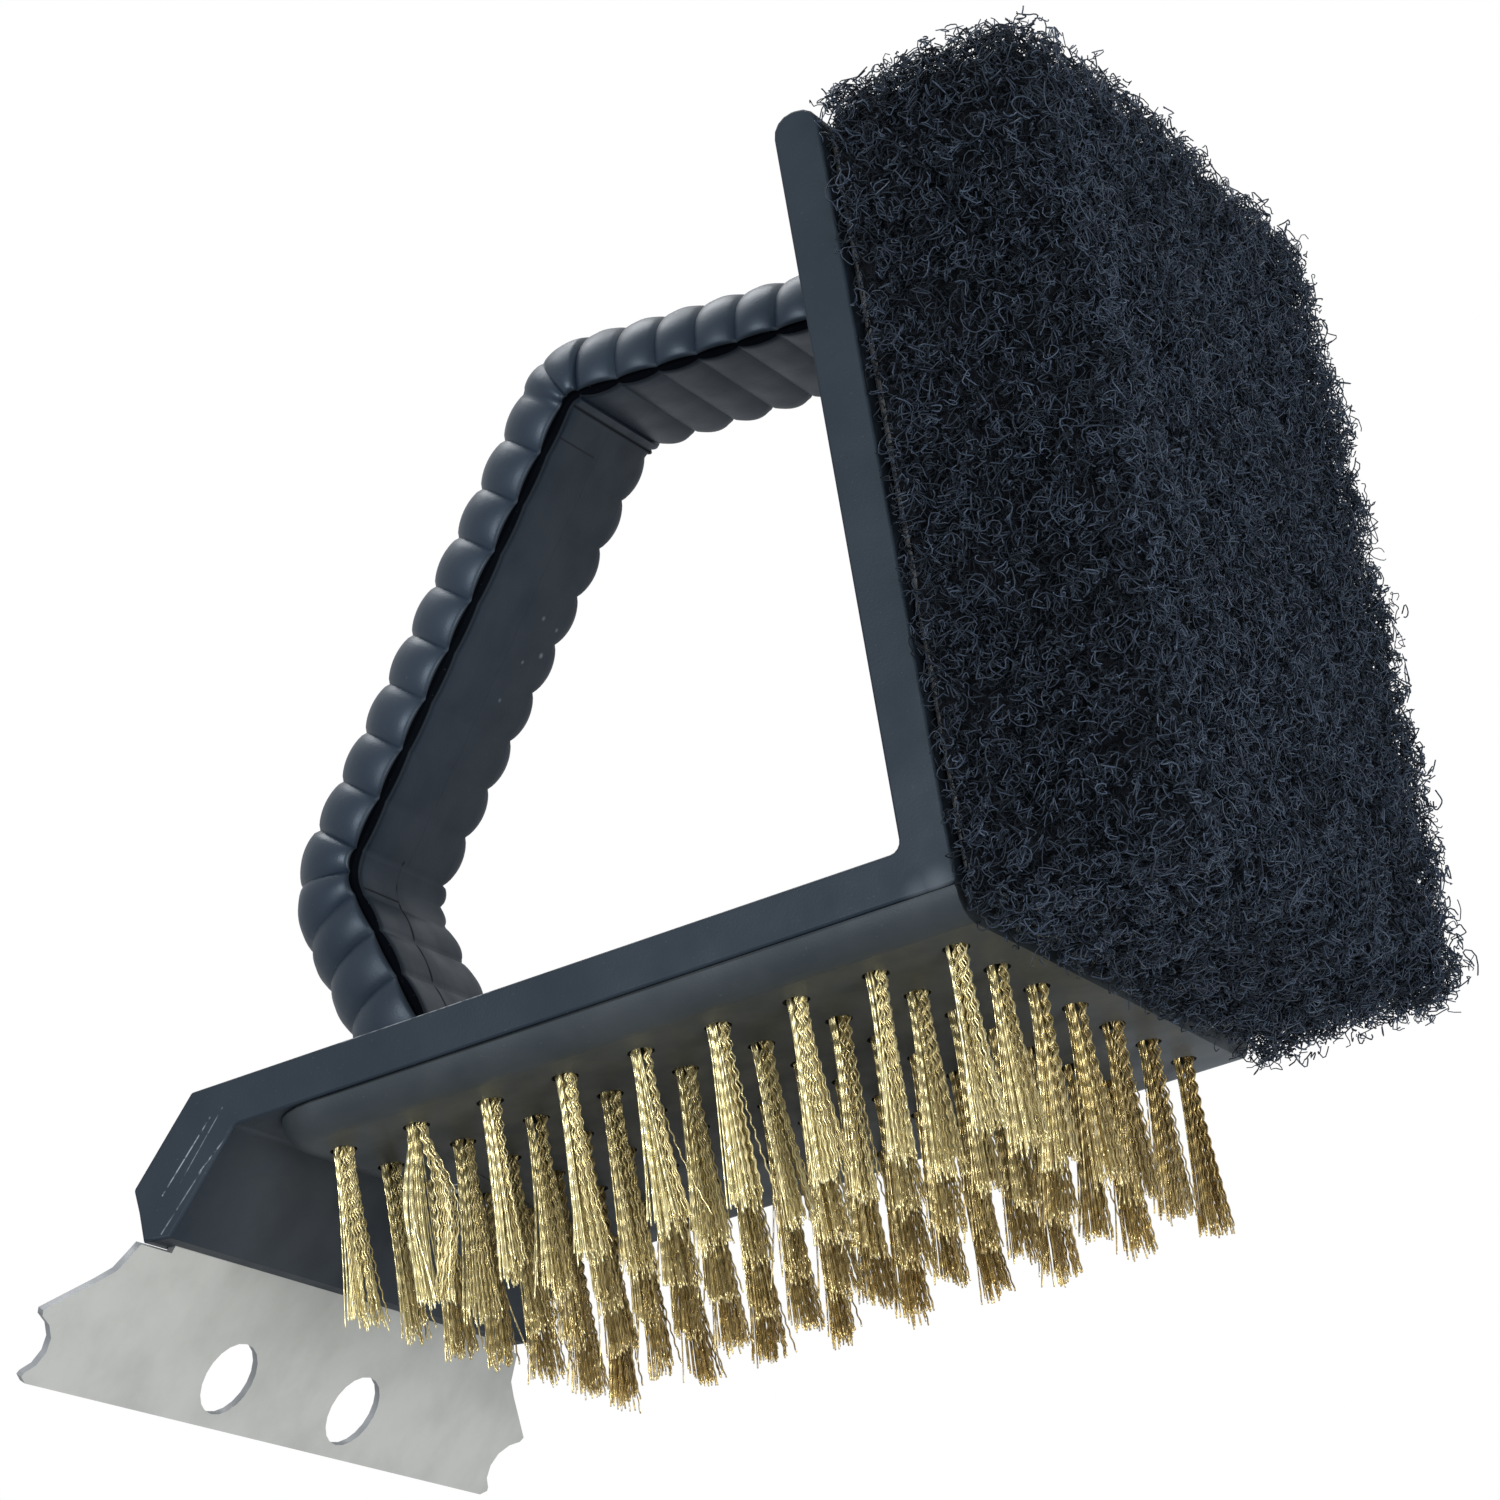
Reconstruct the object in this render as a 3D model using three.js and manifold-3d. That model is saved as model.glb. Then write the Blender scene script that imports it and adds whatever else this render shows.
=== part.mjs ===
// Grill cleaning brush: an L-shaped moulded body with a loop handle, a block of
// brass wire tufts under the base, a scouring pad on the upright and a steel
// scraper blade in a sloped nose.
// Millimetres. +Z is up, the bristle tips and the scraper edge are at Z = 0.
// +X points from the scraper to the pad, Y is across, and Y = 0 is the mid-plane.
import * as THREE from 'three';
import { mergeVertices } from 'three/addons/utils/BufferGeometryUtils.js';
import Module from 'manifold-3d';

const wasm = await Module();
wasm.setup();

// ---------------------------------------------------------------- dimensions
const GAP = 0.3;                 // clearance between neighbouring pieces

const BODY_HALF_WIDTH = 47;
const BASE_UNDER_Z = 30.5;       // underside of the base flange
const BASE_TOP_Z = 37.1;
const UPRIGHT_IN_X = 49.1;
const UPRIGHT_OUT_X = 56.1;
const UPRIGHT_TOP_Z = 145.3;
const EDGE_BEVEL = 0.5;

const TUFT_COLUMNS = 9;
const TUFT_ROWS = 7;
const TUFT_PITCH = 12;
const FIRST_TUFT_X = -46.3;
const TUFT_ROOT_R = 1.9;
const TUFT_TIP_R = 3.0;
const TUFT_SIDES = 8;
const HOLE_SIDES = 12;
const HOLE_R = 2.3;
const STRIP_HALF_WIDTH = 2.1;
const STRIP_THICK = 1.6;
const STRIP_END_X = 51.6;

const BLOCK_UNDER_Z = 26;
const PLATE_FRONT_X = -53.2;     // the plate of the block, under the flange
const PLATE_REAR_X = 55.8;
const PLATE_HALF_WIDTH = 46.6;
const PLATE_ROUND = 4.0;         // radius of its lower edge
const BLOCK_FRONT_X = -51.0;     // the spigot of the block, inside the flange
const BLOCK_REAR_X = 53.8;
const BLOCK_HALF_WIDTH = 42;
const RECESS_CEILING_Z = 33.5;
const BLOCK_TOP_Z = RECESS_CEILING_Z - GAP;
const GROOVE_DEPTH = 2.2;
const LIP_THICK = 1.6;
const LIP_HALF_WIDTH = 30;
const LIP_TOP_Z = 41;

const BLADE_TILT = THREE.MathUtils.degToRad(41.56);   // from the vertical
const BLADE_THICK = 1.0;
const BLADE_EXIT = { x: -72.1, z: 18.2 };              // where it leaves the nose
const BLADE_LENGTH = 23.7;                             // exposed, along the blade
const TANG_DEPTH = 10.5;
const TANG_HALF_WIDTH = 42;
const SLOT_HALF_THICK = BLADE_THICK / 2 + GAP;
const BLADE_HOLE_R = 5.6;
const BLADE_HOLE_Y = 16;
const BLADE_HOLE_DROP = 16;
const PIN_R = 2.0;
const PIN_DROP = -6.5;
const PIN_Y = [-30, 0, 30];

const PAD_IN_X = 57.3;
const PAD_OUT_X = 88.2;
const PAD_UNDER_Z = 26.5;
const PAD_TOP_Z = 146.5;
const PAD_HALF_WIDTH = 47;
const ADHESIVE_THICK = 0.8;

const HANDLE_END_X = UPRIGHT_IN_X - GAP;
const HANDLE_FOOT_Z = BASE_TOP_Z + GAP;
const HANDLE_WALL = 2.4;
const BEAD_DEPTH = 1.0;
const SOLID_END = 14;            // length of the solid screw boss at each end

const SCREW_R = 1.35;
const SCREW_HEAD_R = 2.7;
const SCREW_HEAD_H = 1.7;
const SCREW_Y = [-6, 6];
const FOOT_SCREW_X = -46.3;
const FOOT_SCREW_TOP_Z = 48;
const TOP_SCREW_Z = 137.6;
const TOP_SCREW_END_X = 38;
const CLEARANCE_R = SCREW_R + GAP;

// ---------------------------------------------------------------- solid helpers
function toSolid(geometry) {
  const bare = new THREE.BufferGeometry();
  bare.setAttribute('position', geometry.getAttribute('position'));
  bare.setIndex(geometry.getIndex());
  const merged = mergeVertices(bare, 1e-4);
  const vertProperties = new Float32Array(merged.getAttribute('position').array);
  const triVerts = new Uint32Array(merged.getIndex().array);
  return new wasm.Manifold(new wasm.Mesh({ numProp: 3, vertProperties, triVerts }));
}

function toGeometry(solid) {
  const mesh = solid.getMesh();
  const geometry = new THREE.BufferGeometry();
  const positions = new Float32Array(mesh.numVert * 3);
  for (let i = 0; i < mesh.numVert; i += 1) {
    for (let k = 0; k < 3; k += 1) {
      positions[3 * i + k] = mesh.vertProperties[mesh.numProp * i + k];
    }
  }
  geometry.setAttribute('position', new THREE.BufferAttribute(positions, 3));
  geometry.setIndex(new THREE.BufferAttribute(new Uint32Array(mesh.triVerts), 1));
  return geometry;
}

function box(low, high) {
  const size = high.map((value, k) => value - low[k]);
  const geometry = new THREE.BoxGeometry(size[0], size[1], size[2]);
  geometry.translate(
    (low[0] + high[0]) / 2,
    (low[1] + high[1]) / 2,
    (low[2] + high[2]) / 2,
  );
  return toSolid(geometry);
}

// A solid of revolution. profile is [[radius, height], ...], from bottom to top,
// with radius 0 at both ends. The axis is +Z.
function turned(profile, sides) {
  const positions = [];
  const index = [];
  const rings = profile.slice(1, -1);
  positions.push(0, 0, profile[0][1]);
  for (const [radius, height] of rings) {
    for (let k = 0; k < sides; k += 1) {
      const angle = (2 * Math.PI * (k + 0.5)) / sides;
      positions.push(radius * Math.cos(angle), radius * Math.sin(angle), height);
    }
  }
  positions.push(0, 0, profile[profile.length - 1][1]);
  const top = positions.length / 3 - 1;
  for (let k = 0; k < sides; k += 1) {
    const next = (k + 1) % sides;
    index.push(0, 1 + next, 1 + k);
    for (let r = 0; r + 1 < rings.length; r += 1) {
      const low = 1 + r * sides;
      const high = low + sides;
      index.push(low + k, low + next, high + next);
      index.push(low + k, high + next, high + k);
    }
    const last = 1 + (rings.length - 1) * sides;
    index.push(last + k, last + next, top);
  }
  const geometry = new THREE.BufferGeometry();
  geometry.setAttribute('position', new THREE.Float32BufferAttribute(positions, 3));
  geometry.setIndex(index);
  return geometry;
}

function rod(radius, length, sides) {
  return turned([[0, 0], [radius, 0], [radius, length], [0, length]], sides);
}

// A shape drawn in X and Z, pushed along Y from yLow to yHigh.
function prism(points, yLow, yHigh, bevel = 0) {
  const shape = new THREE.Shape(points.map(([x, z]) => new THREE.Vector2(x, z)));
  const geometry = new THREE.ExtrudeGeometry(shape, {
    depth: yHigh - yLow - 2 * bevel,
    bevelEnabled: bevel > 0,
    bevelThickness: bevel,
    bevelSize: bevel,
    bevelOffset: -bevel,
    bevelSegments: 2,
    curveSegments: 1,
  });
  geometry.rotateX(Math.PI / 2);
  geometry.translate(0, yHigh - bevel, 0);
  return toSolid(geometry);
}

// Replaces each corner of a closed outline [[x, z, radius], ...] with an arc.
function rounded(corners, steps = 4) {
  const points = [];
  for (let i = 0; i < corners.length; i += 1) {
    const [x, z, radius = 0] = corners[i];
    const before = corners[(i + corners.length - 1) % corners.length];
    const after = corners[(i + 1) % corners.length];
    if (radius === 0) {
      points.push([x, z]);
      continue;
    }
    const here = new THREE.Vector2(x, z);
    const toBefore = new THREE.Vector2(before[0] - x, before[1] - z).normalize();
    const toAfter = new THREE.Vector2(after[0] - x, after[1] - z).normalize();
    const half = Math.acos(THREE.MathUtils.clamp(toBefore.dot(toAfter), -1, 1)) / 2;
    const setback = radius / Math.tan(half);
    const centre = toBefore.clone().add(toAfter).normalize();
    centre.multiplyScalar(radius / Math.sin(half)).add(here);
    const start = here.clone().addScaledVector(toBefore, setback).sub(centre);
    const end = here.clone().addScaledVector(toAfter, setback).sub(centre);
    const sweep = Math.atan2(start.cross(end), start.dot(end));
    for (let k = 0; k <= steps; k += 1) {
      const turn = start.clone().rotateAround(new THREE.Vector2(), (sweep * k) / steps);
      points.push([centre.x + turn.x, centre.y + turn.y]);
    }
  }
  return points;
}

// An outline in X and Y, pushed up from zLow to zHigh.
function slab(points, zLow, zHigh, bevel = 0) {
  const shape = new THREE.Shape(points.map(([x, y]) => new THREE.Vector2(x, y)));
  const geometry = new THREE.ExtrudeGeometry(shape, {
    depth: zHigh - zLow - 2 * bevel,
    bevelEnabled: bevel > 0,
    bevelThickness: bevel,
    bevelSize: bevel,
    bevelOffset: -bevel,
    bevelSegments: 4,
    curveSegments: 1,
  });
  geometry.translate(0, 0, zLow + bevel);
  return toSolid(geometry);
}

// A countersunk screw pointing along +Z, with its head at Z = 0 and a cross slot.
function screwGeometry(length) {
  const shank = turned([
    [0, 0],
    [SCREW_HEAD_R, 0],
    [SCREW_HEAD_R, 0.4],
    [SCREW_R, SCREW_HEAD_H],
    [SCREW_R, length - 1.6],
    [0.4, length],
    [0, length],
  ], 10);
  const slotLong = box([-1.5, -0.35, -1], [1.5, 0.35, 0.9]);
  const slotCross = box([-0.35, -1.5, -1], [0.35, 1.5, 0.9]);
  return toGeometry(toSolid(shank).subtract(slotLong).subtract(slotCross));
}

// The hole a countersunk screw passes through, opening at Z = 0.
function screwHole(length) {
  return turned([
    [0, -2],
    [SCREW_HEAD_R + GAP, -2],
    [SCREW_HEAD_R + GAP, 0.7],
    [CLEARANCE_R, SCREW_HEAD_H + 0.3],
    [CLEARANCE_R, length],
    [0, length],
  ], 12);
}

// ---------------------------------------------------------------- scraper frame
// Puts a shape drawn with X across, Y down the blade and Z through it in place.
function intoBladePlane(geometry) {
  const across = new THREE.Vector3(0, -1, 0);
  const down = new THREE.Vector3(-Math.sin(BLADE_TILT), 0, -Math.cos(BLADE_TILT));
  const through = new THREE.Vector3().crossVectors(across, down);
  const matrix = new THREE.Matrix4().makeBasis(across, down, through);
  matrix.setPosition(BLADE_EXIT.x, 0, BLADE_EXIT.z);
  geometry.applyMatrix4(matrix);
  return geometry;
}

// ---------------------------------------------------------------- body
function buildBody() {
  const outline = rounded([
    [-62.8, BASE_TOP_Z, 0.8],
    [-74.1, 26.0, 0.8],
    [-73.7, 22.6],
    [-73.5, 18.3],
    [-69.0, 17.7],
    [-56.4, BASE_UNDER_Z, 1.5],
    [UPRIGHT_OUT_X, BASE_UNDER_Z, 1],
    [UPRIGHT_OUT_X, UPRIGHT_TOP_Z, 3.2],
    [UPRIGHT_IN_X, UPRIGHT_TOP_Z, 3.2],
    [UPRIGHT_IN_X, BASE_TOP_Z, 1.5],
  ]);
  let body = prism(outline, -BODY_HALF_WIDTH, BODY_HALF_WIDTH, EDGE_BEVEL);

  const recessSide = BLOCK_HALF_WIDTH + GAP;
  const recess = slab(rounded([
    [BLOCK_FRONT_X - GAP, -recessSide, 8],
    [BLOCK_REAR_X + GAP, -recessSide, 2],
    [BLOCK_REAR_X + GAP, recessSide, 2],
    [BLOCK_FRONT_X - GAP, recessSide, 8],
  ]), BASE_UNDER_Z - 5, RECESS_CEILING_Z);
  const lipSlot = box(
    [BLOCK_REAR_X - LIP_THICK - GAP, -LIP_HALF_WIDTH - GAP, BASE_UNDER_Z],
    [BLOCK_REAR_X + GAP, LIP_HALF_WIDTH + GAP, LIP_TOP_Z + GAP],
  );
  body = body.subtract(recess).subtract(lipSlot);

  const slotWidth = 2 * (TANG_HALF_WIDTH + GAP);
  const slot = new THREE.BoxGeometry(slotWidth, TANG_DEPTH + GAP + 4, 2 * SLOT_HALF_THICK);
  slot.translate(0, 4 - (TANG_DEPTH + GAP + 4) / 2, 0);
  let slotSolid = toSolid(intoBladePlane(slot));
  for (const y of PIN_Y) {
    const pin = rod(PIN_R, 4 * SLOT_HALF_THICK, 12);
    pin.translate(y, PIN_DROP, -2 * SLOT_HALF_THICK);
    slotSolid = slotSolid.subtract(toSolid(intoBladePlane(pin)));
  }
  body = body.subtract(slotSolid);

  for (const y of SCREW_Y) {
    const foot = rod(CLEARANCE_R, 14, 12);
    foot.translate(FOOT_SCREW_X, y, BASE_UNDER_Z - 2);
    body = body.subtract(toSolid(foot));
    const top = screwHole(12);
    top.rotateY(-Math.PI / 2);
    top.translate(UPRIGHT_OUT_X, y, TOP_SCREW_Z);
    body = body.subtract(toSolid(top));
  }
  return toGeometry(body);
}

// ---------------------------------------------------------------- bristles
function tuftX(column) {
  return FIRST_TUFT_X + column * TUFT_PITCH;
}

function tuftY(row) {
  return (row - (TUFT_ROWS - 1) / 2) * TUFT_PITCH;
}

function buildBlock() {
  const plateTop = BASE_UNDER_Z - GAP;
  const plate = slab(rounded([
    [PLATE_FRONT_X, -PLATE_HALF_WIDTH, 9],
    [PLATE_REAR_X + 5, -PLATE_HALF_WIDTH],
    [PLATE_REAR_X + 5, PLATE_HALF_WIDTH],
    [PLATE_FRONT_X, PLATE_HALF_WIDTH, 9],
  ], 6), BLOCK_UNDER_Z, plateTop + 5, PLATE_ROUND).intersect(
    box([-80, -60, 0], [PLATE_REAR_X, 60, plateTop]),
  );
  let block = plate.add(slab(rounded([
    [BLOCK_FRONT_X, -BLOCK_HALF_WIDTH, 8],
    [BLOCK_REAR_X, -BLOCK_HALF_WIDTH, 2],
    [BLOCK_REAR_X, BLOCK_HALF_WIDTH, 2],
    [BLOCK_FRONT_X, BLOCK_HALF_WIDTH, 8],
  ]), plateTop - 1, BLOCK_TOP_Z));
  const lip = box(
    [BLOCK_REAR_X - LIP_THICK, -LIP_HALF_WIDTH, BLOCK_TOP_Z - 1],
    [BLOCK_REAR_X, LIP_HALF_WIDTH, LIP_TOP_Z],
  );
  block = block.add(lip);
  const cuts = [];
  for (let row = 0; row < TUFT_ROWS; row += 1) {
    const y = tuftY(row);
    const grooveSide = STRIP_HALF_WIDTH + GAP;
    cuts.push(box(
      [tuftX(0) - grooveSide, y - grooveSide, BLOCK_TOP_Z - GROOVE_DEPTH],
      [STRIP_END_X + GAP, y + grooveSide, BLOCK_TOP_Z + 1],
    ));
    for (let column = 0; column < TUFT_COLUMNS; column += 1) {
      const hole = rod(HOLE_R, BLOCK_TOP_Z - GROOVE_DEPTH / 2 - BLOCK_UNDER_Z + 1, HOLE_SIDES);
      hole.translate(tuftX(column), y, BLOCK_UNDER_Z - 1);
      cuts.push(toSolid(hole));
    }
  }
  for (const y of SCREW_Y) {
    const hole = screwHole(12);
    hole.translate(FOOT_SCREW_X, y, BLOCK_UNDER_Z);
    cuts.push(toSolid(hole));
  }
  for (const cut of cuts) {
    block = block.subtract(cut);
  }
  return toGeometry(block);
}

function buildTuftRow(row) {
  const y = tuftY(row);
  const stripTop = BLOCK_TOP_Z - GAP;
  const stripUnder = stripTop - STRIP_THICK;
  let solid = box(
    [tuftX(0) - STRIP_HALF_WIDTH, y - STRIP_HALF_WIDTH, stripUnder],
    [STRIP_END_X, y + STRIP_HALF_WIDTH, stripTop],
  );
  for (let column = 0; column < TUFT_COLUMNS; column += 1) {
    const tuft = turned([
      [0, 0],
      [TUFT_TIP_R, 0],
      [TUFT_ROOT_R, stripUnder + 0.5],
      [0, stripUnder + 0.5],
    ], TUFT_SIDES);
    tuft.translate(tuftX(column), y, 0);
    solid = solid.add(toSolid(tuft));
  }
  return toGeometry(solid);
}

// ---------------------------------------------------------------- handle
// Centre line of the flat inner face, in X and Z, from below the base to
// beyond the upright. The two inner corners are rounded.
const HANDLE_LINE = [
  [-34.31, 22.0],
  [-53.48, 75.86, 6],
  [-5.81, 135.4, 2],
  [62.0, 129.96],
];
const ROUND_STEPS = 6;

// Where the beads meet, as shares of each stretch from the foot upwards, and
// the height of the section at the two ends of the stretch.
const STRETCHES = [
  { edges: evenShares(8), scale: [1.18, 1.12] },            // lower arm
  { edges: [0, 0.36, 0.64, 1], scale: [1.12, 1.04] },       // lower bend
  { edges: evenShares(9), scale: [1.04, 0.98] },            // grip
  { edges: [0, 0.4, 1], scale: [0.98, 0.94] },              // top bend
  { edges: evenShares(10), scale: [0.94, 0.78] },           // upper arm
];

function evenShares(count) {
  return Array.from({ length: count + 1 }, (unused, k) => k / count);
}

// Half of the cross-section: [across, height over the inner face, bead share].
const SECTION = [
  [0, 0, 0],
  [11.2, 0, 0],
  [12.1, 0.9, 0.5],
  [13.1, 2.8, 1],
  [12.9, 6.0, 1],
  [11.3, 9.4, 1],
  [8.1, 12.3, 1],
  [4.2, 13.6, 1],
  [0, 14.0, 1],
];
const CORE = [
  [0, HANDLE_WALL],
  [9.4, HANDLE_WALL],
  [9.8, 5.4],
  [8.4, 8.0],
  [5.8, 9.8],
  [0, 10.6],
];

// Straight and curved stretches of the line, as points with travel directions.
function handleStations() {
  const stations = [];
  const last = HANDLE_LINE.length - 1;
  const at = (index) => new THREE.Vector2(HANDLE_LINE[index][0], HANDLE_LINE[index][1]);
  let start = at(0);
  for (let i = 1; i <= last; i += 1) {
    const corner = at(i);
    const along = corner.clone().sub(at(i - 1)).normalize();
    if (i === last) {
      stations.push({ kind: 'line', from: start, to: corner, along });
      break;
    }
    const next = at(i + 1).sub(corner).normalize();
    const turn = Math.abs(Math.atan2(along.cross(next), along.dot(next)));
    const radius = HANDLE_LINE[i][2];
    const setback = radius * Math.tan(turn / 2);
    const arcStart = corner.clone().addScaledVector(along, -setback);
    stations.push({ kind: 'line', from: start, to: arcStart, along });
    const inward = new THREE.Vector2(along.y, -along.x);
    const centre = arcStart.clone().addScaledVector(inward, radius);
    stations.push({ kind: 'arc', centre, radius, turn, along });
    start = corner.clone().addScaledVector(next, setback);
  }
  return stations;
}

// The point and outward direction of a stretch at share 0 to 1.
function stationAt(stretch, share) {
  if (stretch.kind === 'line') {
    return {
      point: stretch.from.clone().lerp(stretch.to, share),
      outward: new THREE.Vector2(-stretch.along.y, stretch.along.x),
    };
  }
  const outward = new THREE.Vector2(-stretch.along.y, stretch.along.x);
  outward.rotateAround(new THREE.Vector2(), -stretch.turn * share);
  return {
    point: stretch.centre.clone().addScaledVector(outward, stretch.radius),
    outward,
  };
}

function beadDip(share) {
  const fromValley = Math.abs(Math.sin(Math.PI * share));
  return -BEAD_DEPTH * (1 - Math.pow(fromValley, 0.55));
}

function ringAt(stretch, order, share, dip) {
  const [first, last] = STRETCHES[order].scale;
  return { ...stationAt(stretch, share), dip, scale: first + (last - first) * share };
}

function beadedStations() {
  const rings = [];
  const bumps = [0, 0.24, 0.76];
  const stretches = handleStations();
  stretches.forEach((stretch, order) => {
    const { edges } = STRETCHES[order];
    for (let bead = 0; bead + 1 < edges.length; bead += 1) {
      for (const bump of bumps) {
        const share = edges[bead] + (edges[bead + 1] - edges[bead]) * bump;
        rings.push(ringAt(stretch, order, share, beadDip(bump)));
      }
    }
  });
  const end = stretches.length - 1;
  rings.push(ringAt(stretches[end], end, 1, beadDip(0)));
  return rings;
}

function plainStations() {
  const rings = [];
  const stretches = handleStations();
  stretches.forEach((stretch, order) => {
    const count = stretch.kind === 'arc' ? ROUND_STEPS : 1;
    for (let k = 0; k < count; k += 1) {
      rings.push(ringAt(stretch, order, k / count, 0));
    }
  });
  const end = stretches.length - 1;
  rings.push(ringAt(stretches[end], end, 1, 0));
  return rings;
}

// Skin over rings of section points, closed with flat ends.
function sweep(rings, half) {
  const left = half.slice(1, -1).map(([u, v, w = 0]) => [-u, v, w]).reverse();
  const section = [...half, ...left];
  const count = section.length;
  const positions = [];
  const index = [];
  for (const ring of rings) {
    for (const [across, height, share] of section) {
      const dip = ring.dip * (share ?? 0);
      const length = Math.hypot(across, height - 5);
      const u = across * (1 + (across === 0 ? 0 : dip / length));
      const rise = height > 5 ? (dip * (height - 5)) / length : 0;
      const v = (height + rise) * ring.scale;
      positions.push(
        ring.point.x + ring.outward.x * v,
        u,
        ring.point.y + ring.outward.y * v,
      );
    }
  }
  for (let r = 0; r + 1 < rings.length; r += 1) {
    for (let k = 0; k < count; k += 1) {
      const next = (k + 1) % count;
      const a = r * count + k;
      const b = r * count + next;
      index.push(a, b + count, a + count);
      index.push(a, b, b + count);
    }
  }
  const flat = section.map(([u, v]) => new THREE.Vector2(u, v));
  const caps = THREE.ShapeUtils.triangulateShape(flat, []);
  const lastRing = (rings.length - 1) * count;
  for (const [a, b, c] of caps) {
    index.push(a, c, b);
    index.push(lastRing + a, lastRing + b, lastRing + c);
  }
  const geometry = new THREE.BufferGeometry();
  geometry.setAttribute('position', new THREE.Float32BufferAttribute(positions, 3));
  geometry.setIndex(index);
  return toSolid(geometry);
}

function buildHandleHalf(side) {
  const room = box([-90, -20, HANDLE_FOOT_Z], [HANDLE_END_X, 20, 170]);
  const hollow = box(
    [-90, -20, HANDLE_FOOT_Z + SOLID_END],
    [HANDLE_END_X - SOLID_END, 20, 170],
  );
  let handle = sweep(beadedStations(), SECTION).intersect(room);
  handle = handle.subtract(sweep(plainStations(), CORE).intersect(hollow));
  for (const y of SCREW_Y) {
    const foot = rod(CLEARANCE_R, FOOT_SCREW_TOP_Z + GAP - 30, 12);
    foot.translate(FOOT_SCREW_X, y, 30);
    const top = rod(CLEARANCE_R, 60 - TOP_SCREW_END_X + GAP, 12);
    top.rotateY(Math.PI / 2);
    top.translate(TOP_SCREW_END_X - GAP, y, TOP_SCREW_Z);
    handle = handle.subtract(toSolid(foot)).subtract(toSolid(top));
  }
  const halfGap = GAP / 2;
  const keep = side < 0
    ? box([-90, -20, 0], [60, -halfGap, 170])
    : box([-90, halfGap, 0], [60, 20, 170]);
  return toGeometry(handle.intersect(keep));
}

// ---------------------------------------------------------------- screws
function buildFootScrew(y) {
  const headZ = BLOCK_UNDER_Z + GAP;
  const geometry = screwGeometry(FOOT_SCREW_TOP_Z - headZ);
  geometry.translate(FOOT_SCREW_X, y, headZ);
  return geometry;
}

function buildTopScrew(y) {
  const headX = UPRIGHT_OUT_X - GAP;
  const geometry = screwGeometry(headX - TOP_SCREW_END_X);
  geometry.rotateY(-Math.PI / 2);
  geometry.translate(headX, y, TOP_SCREW_Z);
  return geometry;
}

// ---------------------------------------------------------------- scraper blade
// Right half of the outline below the nose: [half width, distance down].
const BLADE_SIDE = [
  [49.2, 0.8],
  [51.3, 5.2],
  [54.0, 7.4],
  [62.0, 13.2],
  [61.6, 14.0],
  [59.3, 15.0],
  [57.6, 16.7],
  [57.1, 18.8],
  [57.8, 20.9],
  [59.4, 22.3],
  [59.6, 22.9],
  [58.2, BLADE_LENGTH],
];

function buildBlade() {
  const shape = new THREE.Shape();
  const right = [
    [TANG_HALF_WIDTH, -TANG_DEPTH],
    [TANG_HALF_WIDTH, 0.8],
    ...BLADE_SIDE,
  ];
  const left = right.map(([x, y]) => [-x, y]).reverse();
  shape.setFromPoints([...right, ...left].map(([x, y]) => new THREE.Vector2(x, y)));
  for (const side of [-1, 1]) {
    const hole = new THREE.Path();
    hole.absarc(side * BLADE_HOLE_Y, BLADE_HOLE_DROP, BLADE_HOLE_R, 0, 2 * Math.PI);
    shape.holes.push(hole);
  }
  for (const y of PIN_Y) {
    const hole = new THREE.Path();
    hole.absarc(y, PIN_DROP, PIN_R + GAP, 0, 2 * Math.PI);
    shape.holes.push(hole);
  }
  const geometry = new THREE.ExtrudeGeometry(shape, {
    depth: BLADE_THICK,
    bevelEnabled: false,
    curveSegments: 10,
  });
  geometry.translate(0, 0, -BLADE_THICK / 2);
  return toGeometry(toSolid(intoBladePlane(geometry)));
}

// ---------------------------------------------------------------- scouring pad
function buildPad() {
  const outline = rounded([
    [PAD_IN_X, PAD_UNDER_Z, 2],
    [PAD_OUT_X, PAD_UNDER_Z, 4],
    [PAD_OUT_X, PAD_TOP_Z, 4],
    [PAD_IN_X, PAD_TOP_Z, 2],
  ]);
  return toGeometry(prism(outline, -PAD_HALF_WIDTH, PAD_HALF_WIDTH, 1.5));
}

function buildAdhesive() {
  const inX = UPRIGHT_OUT_X + (PAD_IN_X - UPRIGHT_OUT_X - ADHESIVE_THICK) / 2;
  return toGeometry(box([inX, -44, 33], [inX + ADHESIVE_THICK, 44, 141]));
}

// ---------------------------------------------------------------- assembly
const group = new THREE.Group();
group.name = 'grill_cleaning_brush';

function plastic(color, roughness) {
  return new THREE.MeshStandardMaterial({ color, roughness, metalness: 0 });
}

function metal(color, roughness) {
  return new THREE.MeshStandardMaterial({ color, roughness, metalness: 1 });
}

const materials = {
  body: plastic(0x2b3138, 0.45),
  block: plastic(0x2a2d30, 0.55),
  handle: plastic(0x2d333a, 0.45),
  brass: metal(0xb08d4a, 0.35),
  steel: metal(0xa9aca9, 0.45),
  screw: metal(0x8b8d8f, 0.4),
  pad: plastic(0x151618, 0.95),
  adhesive: plastic(0xcfc9b8, 0.8),
};

function addPart(name, geometry, material) {
  const flat = geometry.index ? geometry.toNonIndexed() : geometry;
  flat.computeVertexNormals();
  const mesh = new THREE.Mesh(flat, material);
  mesh.name = name;
  group.add(mesh);
}

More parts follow.
